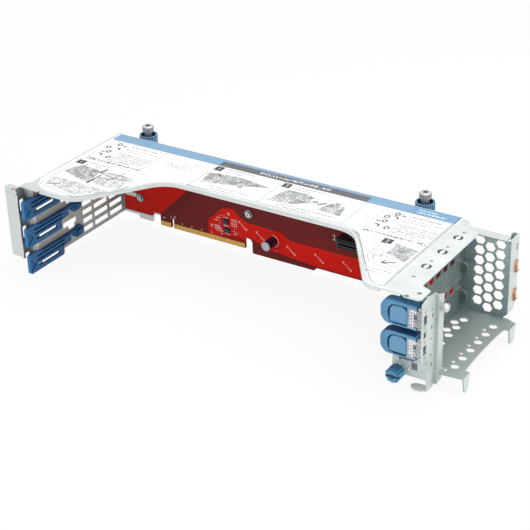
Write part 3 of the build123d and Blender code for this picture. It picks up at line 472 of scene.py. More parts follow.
def stroke(points, width, closed=False):
    """A drawn line: one narrow outline for each stretch between two points."""
    ends = points[1:] + points[:1] if closed else points[1:]
    outlines = []
    for (start_x, start_y), (end_x, end_y) in zip(points, ends):
        length = math.hypot(end_x - start_x, end_y - start_y)
        side_x = (end_y - start_y) / length * width / 2
        side_y = (start_x - end_x) / length * width / 2
        outlines.append([
            (start_x - side_x, start_y - side_y),
            (start_x + side_x, start_y + side_y),
            (end_x + side_x, end_y + side_y),
            (end_x - side_x, end_y - side_y),
        ])
    return outlines


def oval(x, y, half_x, half_y, width, parts=12):
    """A drawn oval: outlines that meet side to side, because overlapping ones would turn dark."""
    rings = []
    for shift in (width / 2, -width / 2):
        rings.append([
            (x + (half_x + shift) * math.cos(turn), y + (half_y + shift) * math.sin(turn))
            for turn in [2 * math.pi * part / parts for part in range(parts)]
        ])
    outer, inner = rings
    return [
        [outer[part - 1], outer[part], inner[part], inner[part - 1]] for part in range(parts)
    ]


def block(left, low, right, high):
    """Corners of an upright rectangle."""
    return [(left, low), (right, low), (right, high), (left, high)]


def rows(left, right, high, low, count, height):
    """Rows of marks, as a paragraph fills its space; the last is short."""
    step = (high - low) / max(1, count - 1)
    ends = [right] * count
    if count > 1:
        ends[-1] = right - (right - left) * 0.35
    return [
        block(left, high - row * step - height / 2, end, high - row * step + height / 2)
        for row, end in enumerate(ends)
    ]


def broken_print(name, paper, tone, along, across, cover):
    """Print broken into letter-sized marks that spell nothing."""
    material, tree, shader = new_material(name)
    where = tree.nodes.new("ShaderNodeTexCoord")
    stretch = tree.nodes.new("ShaderNodeMapping")
    stretch.inputs["Scale"].default_value = (along, across, 400)
    marks = noise(tree, 1.0, 1.0)
    edge = between(tree, cover - 0.03, cover + 0.03)
    tint = colour_mix(tree, tone, paper)
    link(tree, where, "Object", stretch, "Vector")
    link(tree, stretch, "Vector", marks, "Vector")
    link(tree, marks, "Fac", edge, "Value")
    link(tree, edge, "Result", tint, "Factor")
    link(tree, tint, "Result", shader, "Base Color")
    shader.inputs["Roughness"].default_value = 0.5
    return material


def drawing_print(name, paper, tone, line, scale):
    """Grey line work: cell edges over soft fields, as a small technical drawing looks."""
    material, tree, shader = new_material(name)
    where = tree.nodes.new("ShaderNodeTexCoord")
    cells = tree.nodes.new("ShaderNodeTexVoronoi")
    cells.feature = "DISTANCE_TO_EDGE"
    cells.inputs["Scale"].default_value = scale
    edge = between(tree, 0.03, 0.09)
    fields = tree.nodes.new("ShaderNodeTexVoronoi")
    fields.inputs["Scale"].default_value = scale * 0.6
    part = tree.nodes.new("ShaderNodeSeparateColor")
    soft = between(tree, 0.35, 0.95)
    wash = colour_mix(tree, paper, tone)
    draw = colour_mix(tree, line)
    link(tree, where, "Object", cells, "Vector")
    link(tree, where, "Object", fields, "Vector")
    link(tree, cells, "Distance", edge, "Value")
    link(tree, fields, "Color", part, "Color")
    link(tree, part, "Red", soft, "Value")
    link(tree, soft, "Result", wash, "Factor")
    link(tree, edge, "Result", draw, "Factor")
    link(tree, wash, "Result", draw, "B")
    link(tree, draw, "Result", shader, "Base Color")
    shader.inputs["Roughness"].default_value = 0.5
    return material


paper = (0.95, 0.96, 0.965)
sky_blue = plastic("print_blue", (0.235, 0.41, 0.60), 0.5, mottle=0.02, bump=0.01)
deep_blue = plastic("print_deep_blue", (0.195, 0.385, 0.585), 0.5, mottle=0.02, bump=0.01)
strip_grey = plastic("print_grey", (0.15, 0.15, 0.16), 0.5, mottle=0.03, bump=0.01)
line_grey = plastic("print_line", (0.16, 0.17, 0.18), 0.5, mottle=0.03, bump=0.01)
pale_grey = plastic("print_pale_grey", (0.34, 0.36, 0.38), 0.5, mottle=0.03, bump=0.01)
dark_ink = plastic("print_dark", (0.075, 0.075, 0.08), 0.5, mottle=0.02, bump=0.01)
white_ink = plastic("print_white", (0.86, 0.87, 0.88), 0.5, mottle=0.01, bump=0.01)
text_ink = broken_print("print_text", paper, (0.27, 0.28, 0.29), 1500, 500, 0.53)
bold_ink = broken_print("print_bold_text", paper, (0.13, 0.13, 0.14), 1100, 400, 0.53)
band_text = broken_print("print_band_text", (0.25, 0.49, 0.76), (0.80, 0.86, 0.92), 700, 300, 0.5)
strip_text = broken_print(
    "print_strip_text", (0.15, 0.15, 0.16), (0.72, 0.72, 0.72), 700, 300, 0.5
)
art_ink = drawing_print(
    "print_drawing", (0.80, 0.81, 0.82), (0.36, 0.37, 0.38), (0.24, 0.25, 0.26), 330
)
soft_art_ink = drawing_print(
    "print_soft_drawing", paper, (0.62, 0.63, 0.64), (0.50, 0.51, 0.52), 280
)

ink("label_blue_band", [block(7.0, 113.7, 320.7, 125.2)], plate_face, sky_blue)
ink("label_right_band", [block(282.4, 113.7, 320.7, 125.2)], raised, deep_blue)
band_lines = stroke([(7.2, 113.7), (320.5, 113.7)], 0.4)
band_lines += stroke([(7.2, 125.1), (320.5, 125.1)], 0.4)
band_lines += stroke([(282.2, 113.9), (282.2, 125.0)], 0.5)
ink("label_band_lines", band_lines, over, pale_grey)
ink("label_grey_band", [block(113.2, 114.3, 247.5, 122.0)], raised, strip_grey)
right_text = [block(288, 116.4, 312, 118.4), block(288, 120.4, 304, 122.2)]
ink("label_band_text_right", right_text, over, band_text)
ink("label_strip_text", [block(150, 116.4, 214, 119.8)], over, strip_text)

left_icons = [(10.6, 112.3), (10.4, 76.7), (64.9, 78.4), (64.1, 111.1)]
right_icons = [(265.4, 110.2), (265.7, 77.9), (318.2, 76.4), (319.3, 112.2)]
left_frame = [(9.0, 72.5), (10.6, 17.5), (49.5, 10.7), (73.6, 36.2), (74.2, 70.3)]
right_frame = [(288.8, 62.2), (289.0, 41.0), (294.3, 33.6), (319.0, 28.2), (319.4, 71.7)]
small_frame = [(77.7, 92.0), (77.3, 101.6), (98.0, 106.3), (98.5, 92.1)]
frames = []
for corners in (left_icons, right_icons, left_frame, right_frame, small_frame):
    frames += stroke(corners, 0.35, closed=True)
panel_length = 39.8
for across, far in (
    (112.5, 111.6), (113.9, 111.6), (175.0, 113.5), (176.4, 113.5), (248.3, 113.8), (249.6, 113.8),
):
    frames += stroke([(across, far), (across, far - panel_length)], 0.3)
frames += stroke([(112.5, 71.9), (249.6, 73.8)], 0.3)
frames += stroke([(304.3, 18.4), (318.6, 19.3)], 0.35)
frames += stroke([(319.2, 9.4), (319.2, 113.0)], 0.3)
slope_line = [
    (264.9, 67.7), (269.3, 64.5), (276.8, 54.0), (292.2, 32.1), (307.3, 11.4), (311.0, 8.4),
    (315.1, 7.6), (320.2, 8.0),
]
frames += stroke(slope_line, 0.3)
frames += stroke([(104.0, 72.4), (256.0, 72.4)], 0.25)
ink("label_frames", frames, plate_face, line_grey)
ink("label_right_edge", stroke([(320.5, 8.4), (320.5, 125.0)], 0.6), raised, line_grey)

icons = []
for x, y in (
    (19.8, 107.7), (14.5, 99.3), (19.8, 92.2), (26.1, 83.1),
    (277.7, 107.2), (272.5, 100.3), (274.4, 93.1), (280.7, 83.9),
):
    icons += oval(x, y, 1.7, 2.1, 1.1, 10)
for x, y in ((23.5, 99.6), (16.7, 84.4), (279.2, 101.3), (272.2, 84.4)):
    icons += stroke([(x - 2.2, y + 1.8), (x + 1.2, y + 1.6), (x + 1.8, y - 1.8)], 1.2)
for x, y in ((25.1, 106.3), (15.4, 89.7), (283.0, 106.4), (270.1, 91.1)):
    icons += stroke([(x - 1.8, y), (x + 1.8, y + 0.4)], 1.3)
icons += [block(9.8, 62.0, 17.2, 68.6), block(287.6, 62.8, 295.3, 69.7)]
icons += [block(114.3, 105.0, 121.1, 112.6), block(177.2, 105.1, 184.2, 112.4)]
ink("label_icons", icons, raised, dark_ink)

text_rows = []
for paragraph in (
    (31, 58, 108, 108, 1, 1.6), (29, 62, 93, 79.5, 5, 1.3), (287, 314, 108, 106, 1, 1.6),
    (285, 317, 93, 80, 5, 1.3), (30, 60, 103, 99, 2, 1.1), (286, 316, 103, 99, 2, 1.1),
    (124, 150, 110.5, 106.5, 2, 1.4), (187, 214, 110.5, 106.5, 2, 1.4),
    (128, 170, 79.5, 75.5, 2, 1.2), (190, 240, 79.0, 75.5, 2, 1.2), (20, 44, 67.5, 63.5, 2, 1.2),
    (298, 317, 26, 22, 2, 1.1), (78.5, 97, 98, 95, 2, 1.0),
):
    text_rows += rows(*paragraph)
ink("label_text", text_rows, plate_face, text_ink)
captions = [block(11, 73.6, 64.6, 75.6), block(267, 73.0, 318, 75.0)]
ink("label_captions", captions, plate_face, bold_ink)


def drawn_box(corners, columns, lines):
    """Lines of a drawing: a leaning four-cornered outline with lines across and along it."""
    first, second, third, fourth = corners

    def part_way(start, end, share):
        return (start[0] + (end[0] - start[0]) * share, start[1] + (end[1] - start[1]) * share)

    strokes = stroke(corners, 0.4, closed=True)
    for index in range(1, columns):
        share = index / columns
        strokes += stroke([part_way(first, second, share), part_way(fourth, third, share)], 0.25)
    for index in range(1, lines):
        share = index / lines
        strokes += stroke([part_way(first, fourth, share), part_way(second, third, share)], 0.25)
    return strokes


drawings = [
    [(115.1, 99.5), (118.1, 81.4), (140.0, 87.0), (172.2, 98.3), (140.4, 103.6)],
    [(179.0, 80.0), (200.0, 82.0), (212.0, 92.0), (206.0, 104.0), (186.0, 102.8)],
    [(221.4, 84.6), (242.3, 82.9), (238.9, 98.0), (226.0, 98.6)],
    [(11.6, 45.5), (42.4, 35.6), (39.0, 58.4), (18.3, 61.1)],
    [(298.4, 66.0), (299.2, 49.5), (316.1, 43.7), (317.9, 62.9)],
]
ink("label_drawings", drawings, plate_face, art_ink)
soft_drawings = [
    [(12.0, 33.0), (14.0, 20.0), (48.0, 13.5), (66.0, 31.0), (44.0, 34.0)],
    [(44.0, 37.0), (71.0, 38.0), (71.0, 51.5), (44.0, 51.5)],
    [(290.6, 44.0), (296.0, 35.0), (316.0, 30.0), (316.5, 42.0), (298.0, 47.5)],
    [(80.0, 93.4), (96.6, 93.6), (96.2, 94.6), (80.0, 94.4)],
    [
        (41.0, 36.5), (44.0, 36.5), (44.0, 60.0), (18.4, 62.4), (19.0, 61.4), (39.6, 58.8),
        (43.0, 36.0),
    ],
    [(45.0, 52.4), (71.0, 52.0), (71.6, 60.4), (45.0, 61.6)],
]
ink("label_soft_drawings", soft_drawings, plate_face, soft_art_ink)
art_lines = []
for corners, columns, across in (
    ([(300.4, 64.4), (301.4, 51.5), (315.4, 47.0), (316.6, 61.8)], 6, 9),
    ([(291.0, 52.0), (292.0, 44.5), (298.0, 43.0), (297.4, 50.4)], 1, 1),
    ([(14.4, 57.8), (13.6, 47.4), (39.6, 39.4), (38.4, 56.0)], 5, 8),
    ([(46.0, 49.6), (46.6, 38.8), (69.4, 39.4), (69.2, 50.4)], 4, 3),
    ([(15.8, 31.4), (16.8, 22.0), (44.8, 16.4), (58.8, 29.6)], 3, 5),
    ([(118.6, 97.6), (120.4, 86.2), (141.0, 91.0), (138.0, 101.0)], 4, 6),
    ([(143.0, 92.6), (160.0, 96.0), (158.0, 100.4), (142.0, 101.6)], 2, 3),
    ([(182.0, 98.8), (184.2, 84.6), (204.6, 86.4), (202.4, 101.4)], 5, 6),
    ([(206.0, 98.8), (212.0, 86.0), (240.0, 85.4), (236.0, 101.0)], 3, 2),
):
    art_lines += drawn_box(corners, columns, across)
ink("label_art_lines", art_lines, raised, pale_grey)
marks = oval(208.4, 99.2, 1.5, 1.1, 0.9, 8) + oval(231.4, 99.6, 1.5, 1.1, 0.9, 8)
marks += stroke([(218.4, 91.6), (223.0, 97.0)], 1.6) + oval(214.8, 94.4, 2.0, 1.2, 1.0, 8)
marks += oval(150.6, 88.6, 1.6, 1.2, 0.9, 8) + stroke([(122.0, 100.6), (128.0, 96.8)], 1.6)
marks += stroke([(40.4, 54.6), (41.6, 63.6)], 1.5) + stroke([(52.8, 47.4), (57.4, 55.6)], 1.3)
ink("label_marks", marks, over, line_grey)
pointers = oval(56.3, 56.0, 14.5, 3.2, 0.5, 18) + oval(56.3, 56.0, 11.8, 2.2, 0.3, 18)
pointers += stroke([(56.1, 50.4), (58.3, 66.6)], 0.7) + stroke([(39.3, 55.9), (40.9, 63.9)], 0.8)
pointers += stroke([(15.4, 19.4), (24.7, 24.7)], 1.0) + stroke([(303.0, 36.0), (312.0, 40.5)], 1.2)
pointers += stroke([(303.0, 36.0), (307.5, 35.6)], 0.9)
pointers += stroke([(303.0, 36.0), (304.2, 40.0)], 0.9)
ink("label_pointers", pointers, raised, line_grey)


def number(name, body, x, y, height):
    """A plain white number, made a mesh and laid on the label."""
    bpy.ops.object.select_all(action="DESELECT")
    bpy.ops.object.text_add()
    piece = bpy.context.object
    piece.name = name
    piece.data.body = body
    piece.data.size = height / 1000
    piece.data.align_x = "CENTER"
    piece.data.align_y = "CENTER"
    piece.data.extrude = 0.00002
    bpy.ops.object.convert(target="MESH")
    put, outward = over
    piece.location = put(x, y)
    bpy.ops.object.transform_apply(location=True, rotation=True, scale=True)
    piece.data.materials.append(white_ink)
    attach(piece, "cage")


number("label_number_one", "1", 117.7, 108.8, 5.8)
number("label_number_two", "2", 180.7, 108.8, 5.8)
number("label_number_left", "1", 13.5, 65.3, 5.4)
number("label_number_right", "2", 291.4, 66.2, 5.4)

# Strip beside the label: three pressed dimples, white on top as a painted highlight and darker
# round the sides as painted shade, with a crescent of shadow either side, four small pips, and
# three ribs pressed into the bevelled corner.
shadow_metal = sheet_metal("pressed_shadow", (0.10, 0.11, 0.11), (0.05, 0.06, 0.06), 0.5, 0.5)


def copy_to(master, name, spot, turn=(0, 0, 0), body="cage"):
    """A copy of a modelled piece, with its own mesh, put at its spot."""
    bpy.ops.object.select_all(action="DESELECT")
    master.select_set(True)
    bpy.context.view_layer.objects.active = master
    bpy.ops.object.duplicate()
    piece = bpy.context.object
    piece.name = name
    piece.location = spot
    piece.rotation_euler = turn
    bpy.ops.object.transform_apply(location=True, rotation=True, scale=True)
    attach(piece, body)


# Painted highlight on the dimples' tops and painted shade on their sides.
dimple_metal = sheet_metal(
    "pressed_dimple", (0.55, 0.55, 0.50), (0.40, 0.38, 0.34), 0.25, 0.6, ((0.98, 0.98, 0.97), up)
)
dimple_size = (0.0018, 0.0027, 0.0007)
dimple_sunk = 0.05
bpy.ops.object.select_all(action="DESELECT")
bpy.ops.mesh.primitive_uv_sphere_add(segments=24, ring_count=12, radius=1.0)
dimple = bpy.context.object
bpy.ops.object.mode_set(mode="EDIT")
bpy.ops.mesh.select_all(action="SELECT")
bpy.ops.mesh.bisect(plane_co=(0, 0, 0), plane_no=(0, 0, 1), use_fill=True, clear_inner=True)
bpy.ops.mesh.select_all(action="SELECT")
bpy.ops.transform.resize(value=dimple_size, center_override=(0, 0, 0))
bpy.ops.object.mode_set(mode="OBJECT")
bpy.ops.object.shade_smooth_by_angle(angle=math.radians(40))
dimple.data.materials.append(dimple_metal)
bare_plate = upper_side(0.005)
# A grey line along the label's edge where the flange bends: the bend is real, its grey is painted
# shadow.
crease_shadow = [
    (261.8, 68.5), (266.5, 65.7), (277.8, 51.9), (291.1, 33.2), (300.5, 21.0), (307.1, 12.4),
    (310.2, 9.4), (313.6, 7.6), (320.9, 8.4),
]
ink("label_crease_shadow", stroke(crease_shadow, 0.45), bare_plate, pale_grey, coat=0.27)
crescents = []
strip_middle = 332.1
for index, middle in enumerate((46.9, 71.3, 96.0)):
    for side in (-1, 1):
        outer = [
            (strip_middle + side * 3.7 * math.cos(turn), middle + 3.7 * math.sin(turn))
            for turn in [math.radians(angle) for angle in range(-70, 71, 20)]
        ]
        inner = [
            (strip_middle + side * 1.9 * math.cos(turn), middle + 2.9 * math.sin(turn))
            for turn in [math.radians(angle) for angle in range(70, -71, -20)]
        ]
        crescents.append(outer + inner)
    spot = place(strip_middle, middle, -dimple_sunk)
    copy_to(dimple, f"strip_dimple_{index + 1}", spot)
bpy.data.objects.remove(dimple)
ink("strip_crescents", crescents, bare_plate, shadow_metal)
pips = []
for x, y in ((331.3, 29.7), (331.7, 55.2), (332.0, 79.6), (332.3, 105.2)):
    pips += oval(x, y, 1.0, 0.7, 0.6, 8)
ink("strip_pips", pips, bare_plate, shadow_metal)
ribs = stroke([(324.4, 115.9), (324.7, 124.6)], 0.6) + stroke([(326.2, 115.8), (326.4, 123.6)], 0.6)
ribs += stroke([(327.9, 115.5), (328.6, 122.0)], 0.6)
ink("corner_ribs", ribs, bare_plate, post_plated, coat=0.25)
ink("ear_mark", oval(339.6, 3.9, 1.3, 0.9, 0.9, 8), bare_plate, shadow_metal)

# Card retainers: three injection-moulded clips on the end bracket, deep blue and lightly grained,
# with their upward, near and grip faces painted lighter as painted light.
retainer_blue = plastic(
    "retainer_plastic", (0.002, 0.024, 0.060), 0.40, mottle=0.10, scale=45, bump=0.05,
    turned=((0.008, 0.070, 0.19), up),
)
tree = retainer_blue.node_tree
tree.nodes["Principled BSDF"].inputs["Specular IOR Level"].default_value = 0.3
# Painted light: near faces, upward faces and the near part of right faces take lighter blues.
tone_over(retainer_blue, *facing(tree, [(0, -1, 0), (0.6, -0.8, 0)]), (0.025, 0.175, 0.44))
grip = beyond(tree, right, "Y", "LESS_THAN", place(0, 5, 0).y)
tone_over(retainer_blue, *grip, (0.018, 0.115, 0.28))
dress(["upper_card_retainer", "middle_card_retainer", "lower_card_retainer"], retainer_blue)

# Stud and end bracket's small tab: a turned stud on the near flange, and the bent tab that reaches
# from the end bracket to the board's first screw.
nickel = plastic(
    "nickel_plate", (0.72, 0.72, 0.71), 0.26, mottle=0.10, scale=220, bump=0.03, metallic=0.9
)
dress(["bracket_stud"], nickel)


def near_side(y, drop=0.0):
    """A face turned to the near side, with its places moved down by a drop."""
    return (lambda x, z: place(x, y, z - drop), Vector((0, -1, 0)))


# Painted shadow: a dark ring round the stud's base on the flange.
base_shadow = oval(-0.8, -2.8, 2.85, 2.85, 0.35, 20)
ink("stud_base_shadow", base_shadow, near_side(-0.005), shadow_metal)
stud_ring = oval(-0.8, -2.8, 1.5, 1.5, 0.3, 16)
ink("stud_edge", stud_ring, near_side(-1.005), post_plated)
tab_size = (0.0112, 0.0009, 0.0036)
tab_step = (-0.0022, 0.0, -0.0026)
bpy.ops.object.select_all(action="DESELECT")
bpy.ops.mesh.primitive_cube_add(size=1.0)
tab = bpy.context.object
tab.name = "board_tab"
bpy.ops.object.mode_set(mode="EDIT")
bpy.ops.transform.resize(value=tab_size)
shape = bmesh.from_edit_mesh(tab.data)
for side in shape.faces:
    side.select = side.normal.x < -0.5
bmesh.update_edit_mesh(tab.data)
bpy.ops.mesh.extrude_region_move(TRANSFORM_OT_translate={"value": tab_step})
bpy.ops.object.mode_set(mode="OBJECT")
tab.location = place(18.6, 118.4, -49.0)
bpy.ops.object.transform_apply(location=True, rotation=True, scale=True)
softened = tab.modifiers.new("edges", "BEVEL")
softened.width = 0.0003
softened.segments = 2
bpy.ops.object.modifier_apply(modifier="edges")
tab.data.materials.append(plated)
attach(tab, "cage")

# Riser board: glass-epoxy laminate under red solder mask. Bright fields are copper pours under the
# mask, the rest is dark with fine traces. White marks are screen printed.


def solder_mask(name, colour, mottle):
    """Red lacquer over the laminate, with little shine."""
    mask = plastic(f"solder_mask_{name}", colour, 0.38, mottle=mottle, scale=40, bump=0.02)
    mask.node_tree.nodes["Principled BSDF"].inputs["Specular IOR Level"].default_value = 0.12
    return mask


mask_dark = solder_mask("dark", (0.165, 0.016, 0.015), 0.12)
mask_bright = solder_mask("bright", (0.72, 0.011, 0.004), 0.05)
mask_middle = solder_mask("middle", (0.34, 0.010, 0.008), 0.08)
trace_tone = solder_mask("trace", (0.33, 0.022, 0.020), 0.05)
silk_white = plastic("silk_white", (0.80, 0.72, 0.70), 0.55, mottle=0.05, bump=0.01)
dress(["riser_board"], mask_dark)
board_front = 119.0
board_face = near_side(board_front - 0.01)
board_over = near_side(board_front - 0.05)
left_pour = [
    (10.7, -4.3), (107.0, -4.3), (76.3, -33.7), (48.6, -60.4), (41.4, -60.6), (39.4, -64.6),
    (10.9, -64.6),
]
right_pour = [
    (96.6, -54.4), (111.4, -40.0), (121.9, -38.8), (128.4, -44.8), (136.2, -47.9), (167.2, -48.3),
    (175.0, -53.5), (328.6, -53.5), (328.6, -70.4), (200.0, -70.2), (155.0, -67.0), (146.6, -63.6),
    (141.6, -61.9), (132.5, -61.2), (132.5, -66.8), (97.0, -66.8),
]
ink("board_pours", [left_pour, right_pour], board_face, mask_bright)
edge_pour = [(104.0, -66.7), (114.0, -64.2), (124.0, -62.9), (132.3, -64.0), (132.3, -66.7)]
ink("board_edge_pour", [edge_pour], board_over, mask_middle)
traces = []
for index in range(8):
    x = 64.5 + index * 4.36
    bend = -58.4 + index * 1.06
    traces += stroke([(x, -66.6), (x, bend), (x + (-30.0 - bend) / 1.085, -30.0)], 0.42)
for start, bend, end in (
    ((160.0, -24.0), (184.5, -49.0), (224.0, -49.0)),
    ((171.0, -24.0), (192.4, -46.1), (224.0, -46.1)),
    ((164.0, -40.0), (177.3, -51.3), (322.0, -51.3)),
    ((181.0, -24.0), (200.0, -43.6), (224.0, -43.6)),
):
    traces += stroke([start, bend, end], 0.42)
ink("board_traces", traces, board_face, trace_tone)
vias = [
    (14.8, -57.1), (14.3, -61.9), (24.3, -62.4), (36.1, -55.3), (35.6, -62.1), (36.7, -48.5),
    (43.7, -41.9), (51.4, -43.8), (47.3, -49.3), (48.3, -54.8), (57.9, -49.2), (61.1, -43.5),
]
dashes = []
for x, z in vias:
    dashes += stroke([(x - 1.5, z + 0.2), (x + 1.5, z - 0.2)], 0.75)
ink("board_dashes", dashes, board_over, mask_dark)


def part_mark(x, z):
    """Silk beside a small part: a pad ring, two ticks, and a hook, stepping down to the right."""
    ring = oval(x, z, 0.6, 0.8, 0.38, 8)
    ticks = stroke([(x + 1.2, z - 1.6), (x + 2.6, z - 1.1)], 0.4)
    ticks += stroke([(x + 2.2, z - 2.9), (x + 3.7, z - 2.3)], 0.4)
    hook = stroke(
        [(x + 4.0, z - 3.2), (x + 5.2, z - 3.6), (x + 4.9, z - 4.8), (x + 3.9, z - 4.4)], 0.4
    )
    return ring + ticks + hook + oval(x + 6.6, z - 5.4, 0.7, 0.8, 0.38, 8)


silk = []
for x, z in (
    (127.6, -48.9), (144.2, -54.0), (173.2, -59.4), (199.2, -59.6), (224.6, -59.7), (251.0, -59.9),
):
    silk += part_mark(x, z)
for index in range(7):
    x = 69.7 + index * 10.0
    silk += stroke([(x, -64.3), (x, -66.2)], 0.5)
silk += oval(117.3, -44.1, 1.1, 1.1, 0.42, 10) + oval(100.2, -58.5, 0.9, 1.1, 0.42, 10)
silk += oval(123.4, -61.0, 0.9, 0.9, 0.42, 8) + stroke([(58.5, -59.9), (58.5, -62.6)], 0.5)
silk += stroke([(50.2, -63.6), (52.8, -63.6)], 0.9) + oval(62.6, -60.8, 0.8, 0.8, 0.5, 8)
arc = [math.radians(angle) for angle in range(96, -76, -12)]
silk += stroke([(159.6 + 5.3 * math.cos(turn), -57.9 + 5.3 * math.sin(turn)) for turn in arc], 0.5)
silk += stroke([(162.2, -66.0), (163.9, -66.0)], 0.4)
ink("board_silk", silk, board_over, silk_white)
figure = stroke([(215.2, -38.6), (216.7, -37.4), (216.7, -42.0)], 0.45)
figure += stroke([(215.2, -42.1), (218.3, -42.1)], 0.45)
ink("board_number_one", figure, board_over, silk_white)

# Gold fingers, card slots, capacitor and chips. The capacitor has a dark blue sleeve and a bare
# grey end; the chips are black epoxy, their legs tin.
gold = plastic(
    "gold_plate", (0.88, 0.56, 0.11), 0.30, mottle=0.12, scale=160, bump=0.02, metallic=0.4
)
dress(["edge_contacts"], gold)
slot_black = plastic("slot_nylon", (0.018, 0.018, 0.020), 0.42, mottle=0.2, bump=0.05)
dress(["upper_slot_connector", "lower_slot_connector"], slot_black)
sleeve = plastic(
    "capacitor_sleeve", (0.018, 0.012, 0.055), 0.30, mottle=0.15, bump=0.02,
    turned=((0.60, 0.60, 0.60), near),
)
dress(["capacitor"], sleeve)
epoxy = plastic("chip_epoxy", (0.022, 0.022, 0.024), 0.5, mottle=0.2, scale=300, bump=0.08)
dress(["control_chip", "power_chip"], epoxy)
tin = plastic("tinned_leg", (0.70, 0.70, 0.70), 0.30, mottle=0.1, scale=300, metallic=0.85)
legs = []
for index in range(4):
    x = 114.5 - 1.84 + index * 1.225
    legs += [block(x - 0.28, -55.6, x + 0.28, -54.0), block(x - 0.28, -49.2, x + 0.28, -47.6)]
for index in range(3):
    x = 115.6 - 2.0 + index * 2.0
    legs += [block(x - 0.32, -62.9, x + 0.32, -61.2), block(x - 0.32, -57.2, x + 0.32, -56.2)]
legs += [block(103.0, -52.6, 106.4, -52.1), block(105.4, -50.0, 108.6, -49.5)]
legs += [block(102.6, -57.4, 108.4, -57.0), block(103.4, -58.8, 109.2, -58.4)]
legs += [block(103.0, -60.2, 110.2, -59.8), block(104.8, -61.6, 111.6, -61.2)]
for row in range(4):
    for column in range(3):
        x = 120.4 + column * 2.1
        z = -48.4 - row * 1.9
        legs.append(block(x - 0.55, z - 0.35, x + 0.55, z + 0.35))
ink("board_pads", legs, board_over, tin, coat=0.06)
resistor_size = (0.0012, 0.0006, 0.0010)
bpy.ops.object.select_all(action="DESELECT")
bpy.ops.mesh.primitive_cube_add(size=1.0)
resistor = bpy.context.object
bpy.ops.object.mode_set(mode="EDIT")
bpy.ops.transform.resize(value=resistor_size)
bpy.ops.mesh.bevel(offset=0.00008, segments=1)
shape = bmesh.from_edit_mesh(resistor.data)
for side in shape.faces:
    side.select = abs(side.normal.x) > 0.9
bmesh.update_edit_mesh(resistor.data)
bpy.ops.mesh.extrude_region_move(TRANSFORM_OT_translate={"value": (0, 0, 0)})
bpy.ops.transform.resize(value=(1.5, 1.0, 1.0))
bpy.ops.object.mode_set(mode="OBJECT")
resistor.data.materials.append(epoxy)
resistor.data.materials.append(tin)
for side in resistor.data.polygons:
    side.material_index = int(abs(side.center.x) > 0.00058)
for index, (x, z, upright) in enumerate((
    (109.6, -47.2, 0), (112.4, -46.2, 0), (108.6, -53.4, 1), (108.8, -57.2, 1), (120.4, -58.6, 0),
    (123.2, -57.2, 1), (126.0, -58.8, 0), (106.6, -61.6, 0), (110.4, -63.0, 0),
)):
    spot = place(x, board_front - resistor_size[1] * 500, z)
    turn = (0, math.pi / 2 * upright, 0)
    copy_to(resistor, f"board_resistor_{index + 1}", spot, turn)
bpy.data.objects.remove(resistor)

# Fasteners: nickel-plated screws, standoffs, pins and ferrules, turned and left bright. The screw
# heads are painted pale on their lit face and darker round the side, as painted light and shade.
# The board screws stand on a ring of painted shadow, with painted shade at the edges of their
# heads.
dress(["board_standoffs", "latch_pins", "post_stud"], nickel)
dress(["near_screw", "near_ferrule", "rear_ferrules"], nickel)
head_metal = plastic(
    "screw_head_nickel", (0.30, 0.31, 0.32), 0.30, mottle=0.45, scale=420, metallic=0.6,
    turned=((0.93, 0.93, 0.90), up),
)
dress(["rear_left_screw", "rear_right_screw"], head_metal)
board_head_metal = plastic(
    "board_screw_nickel", (0.28, 0.29, 0.30), 0.30, mottle=0.45, scale=420, metallic=0.6,
    turned=((0.88, 0.88, 0.86), near),
)
dress(["board_screws"], board_head_metal)
# Painted shadow round each board screw, and painted shade rings on each head.
shadow_rings = []
head_edge_shade = []
for x, z in ((27.6, -50.8), (137.1, -39.2), (300.0, -39.2)):
    shadow_rings += oval(x, z, 3.7, 3.7, 0.8, 24)
    head_edge_shade += oval(x, z, 2.3, 2.3, 0.4, 20) + oval(x, z, 3.25, 3.25, 0.3, 24)
ink("board_screw_shadow_rings", shadow_rings, board_over, shadow_metal, coat=0.25)
ink("board_screw_edge_shade", head_edge_shade, near_side(116.88), shadow_metal)


def thread(name, x, y, z, turn, turns, body):
    """A rolled thread: one ridge wound round the screw's plain wall."""
    pitch = 0.0008
    wall = 0.00196
    bpy.ops.object.select_all(action="DESELECT")
    bpy.ops.mesh.primitive_circle_add(vertices=3, radius=0.00028)
    ridge = bpy.context.object
    ridge.name = name
    bpy.ops.object.mode_set(mode="EDIT")
    shape = bmesh.from_edit_mesh(ridge.data)
    for vert in shape.verts:
        vert.co = Vector((wall + vert.co.y, 0, vert.co.x * 1.25))
    bmesh.update_edit_mesh(ridge.data)
    bpy.ops.object.mode_set(mode="OBJECT")
    wound = ridge.modifiers.new("wound", "SCREW")
    wound.screw_offset = pitch
    wound.iterations = turns
    wound.steps = 18
    wound.render_steps = 18
    wound.use_merge_vertices = True
    wound.merge_threshold = 0.000001
    bpy.ops.object.modifier_apply(modifier="wound")
    bpy.ops.object.mode_set(mode="EDIT")
    bpy.ops.mesh.select_all(action="SELECT")
    bpy.ops.mesh.fill_holes(sides=3)
    bpy.ops.mesh.select_all(action="SELECT")
    bpy.ops.mesh.normals_make_consistent(inside=False)
    bpy.ops.object.mode_set(mode="OBJECT")
    ridge.rotation_euler = turn
    ridge.location = place(x, y, z)
    bpy.ops.object.transform_apply(location=True, rotation=True, scale=True)
    ridge.data.materials.append(nickel)
    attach(ridge, body)


rear_axes = (("left", 28.5), ("right", 286.0))
rear_row = 134.5
near_axis = (331.9, -63.2)
for side, x in rear_axes:
    thread(f"rear_{side}_thread", x, rear_row, -21.2, (0, 0, 0), 10, f"rear_{side}_thumbscrew")
thread(
    "near_thread", near_axis[0], 12.8, near_axis[1], (-math.pi / 2, 0, 0), 8, "near_thumbscrew"
)

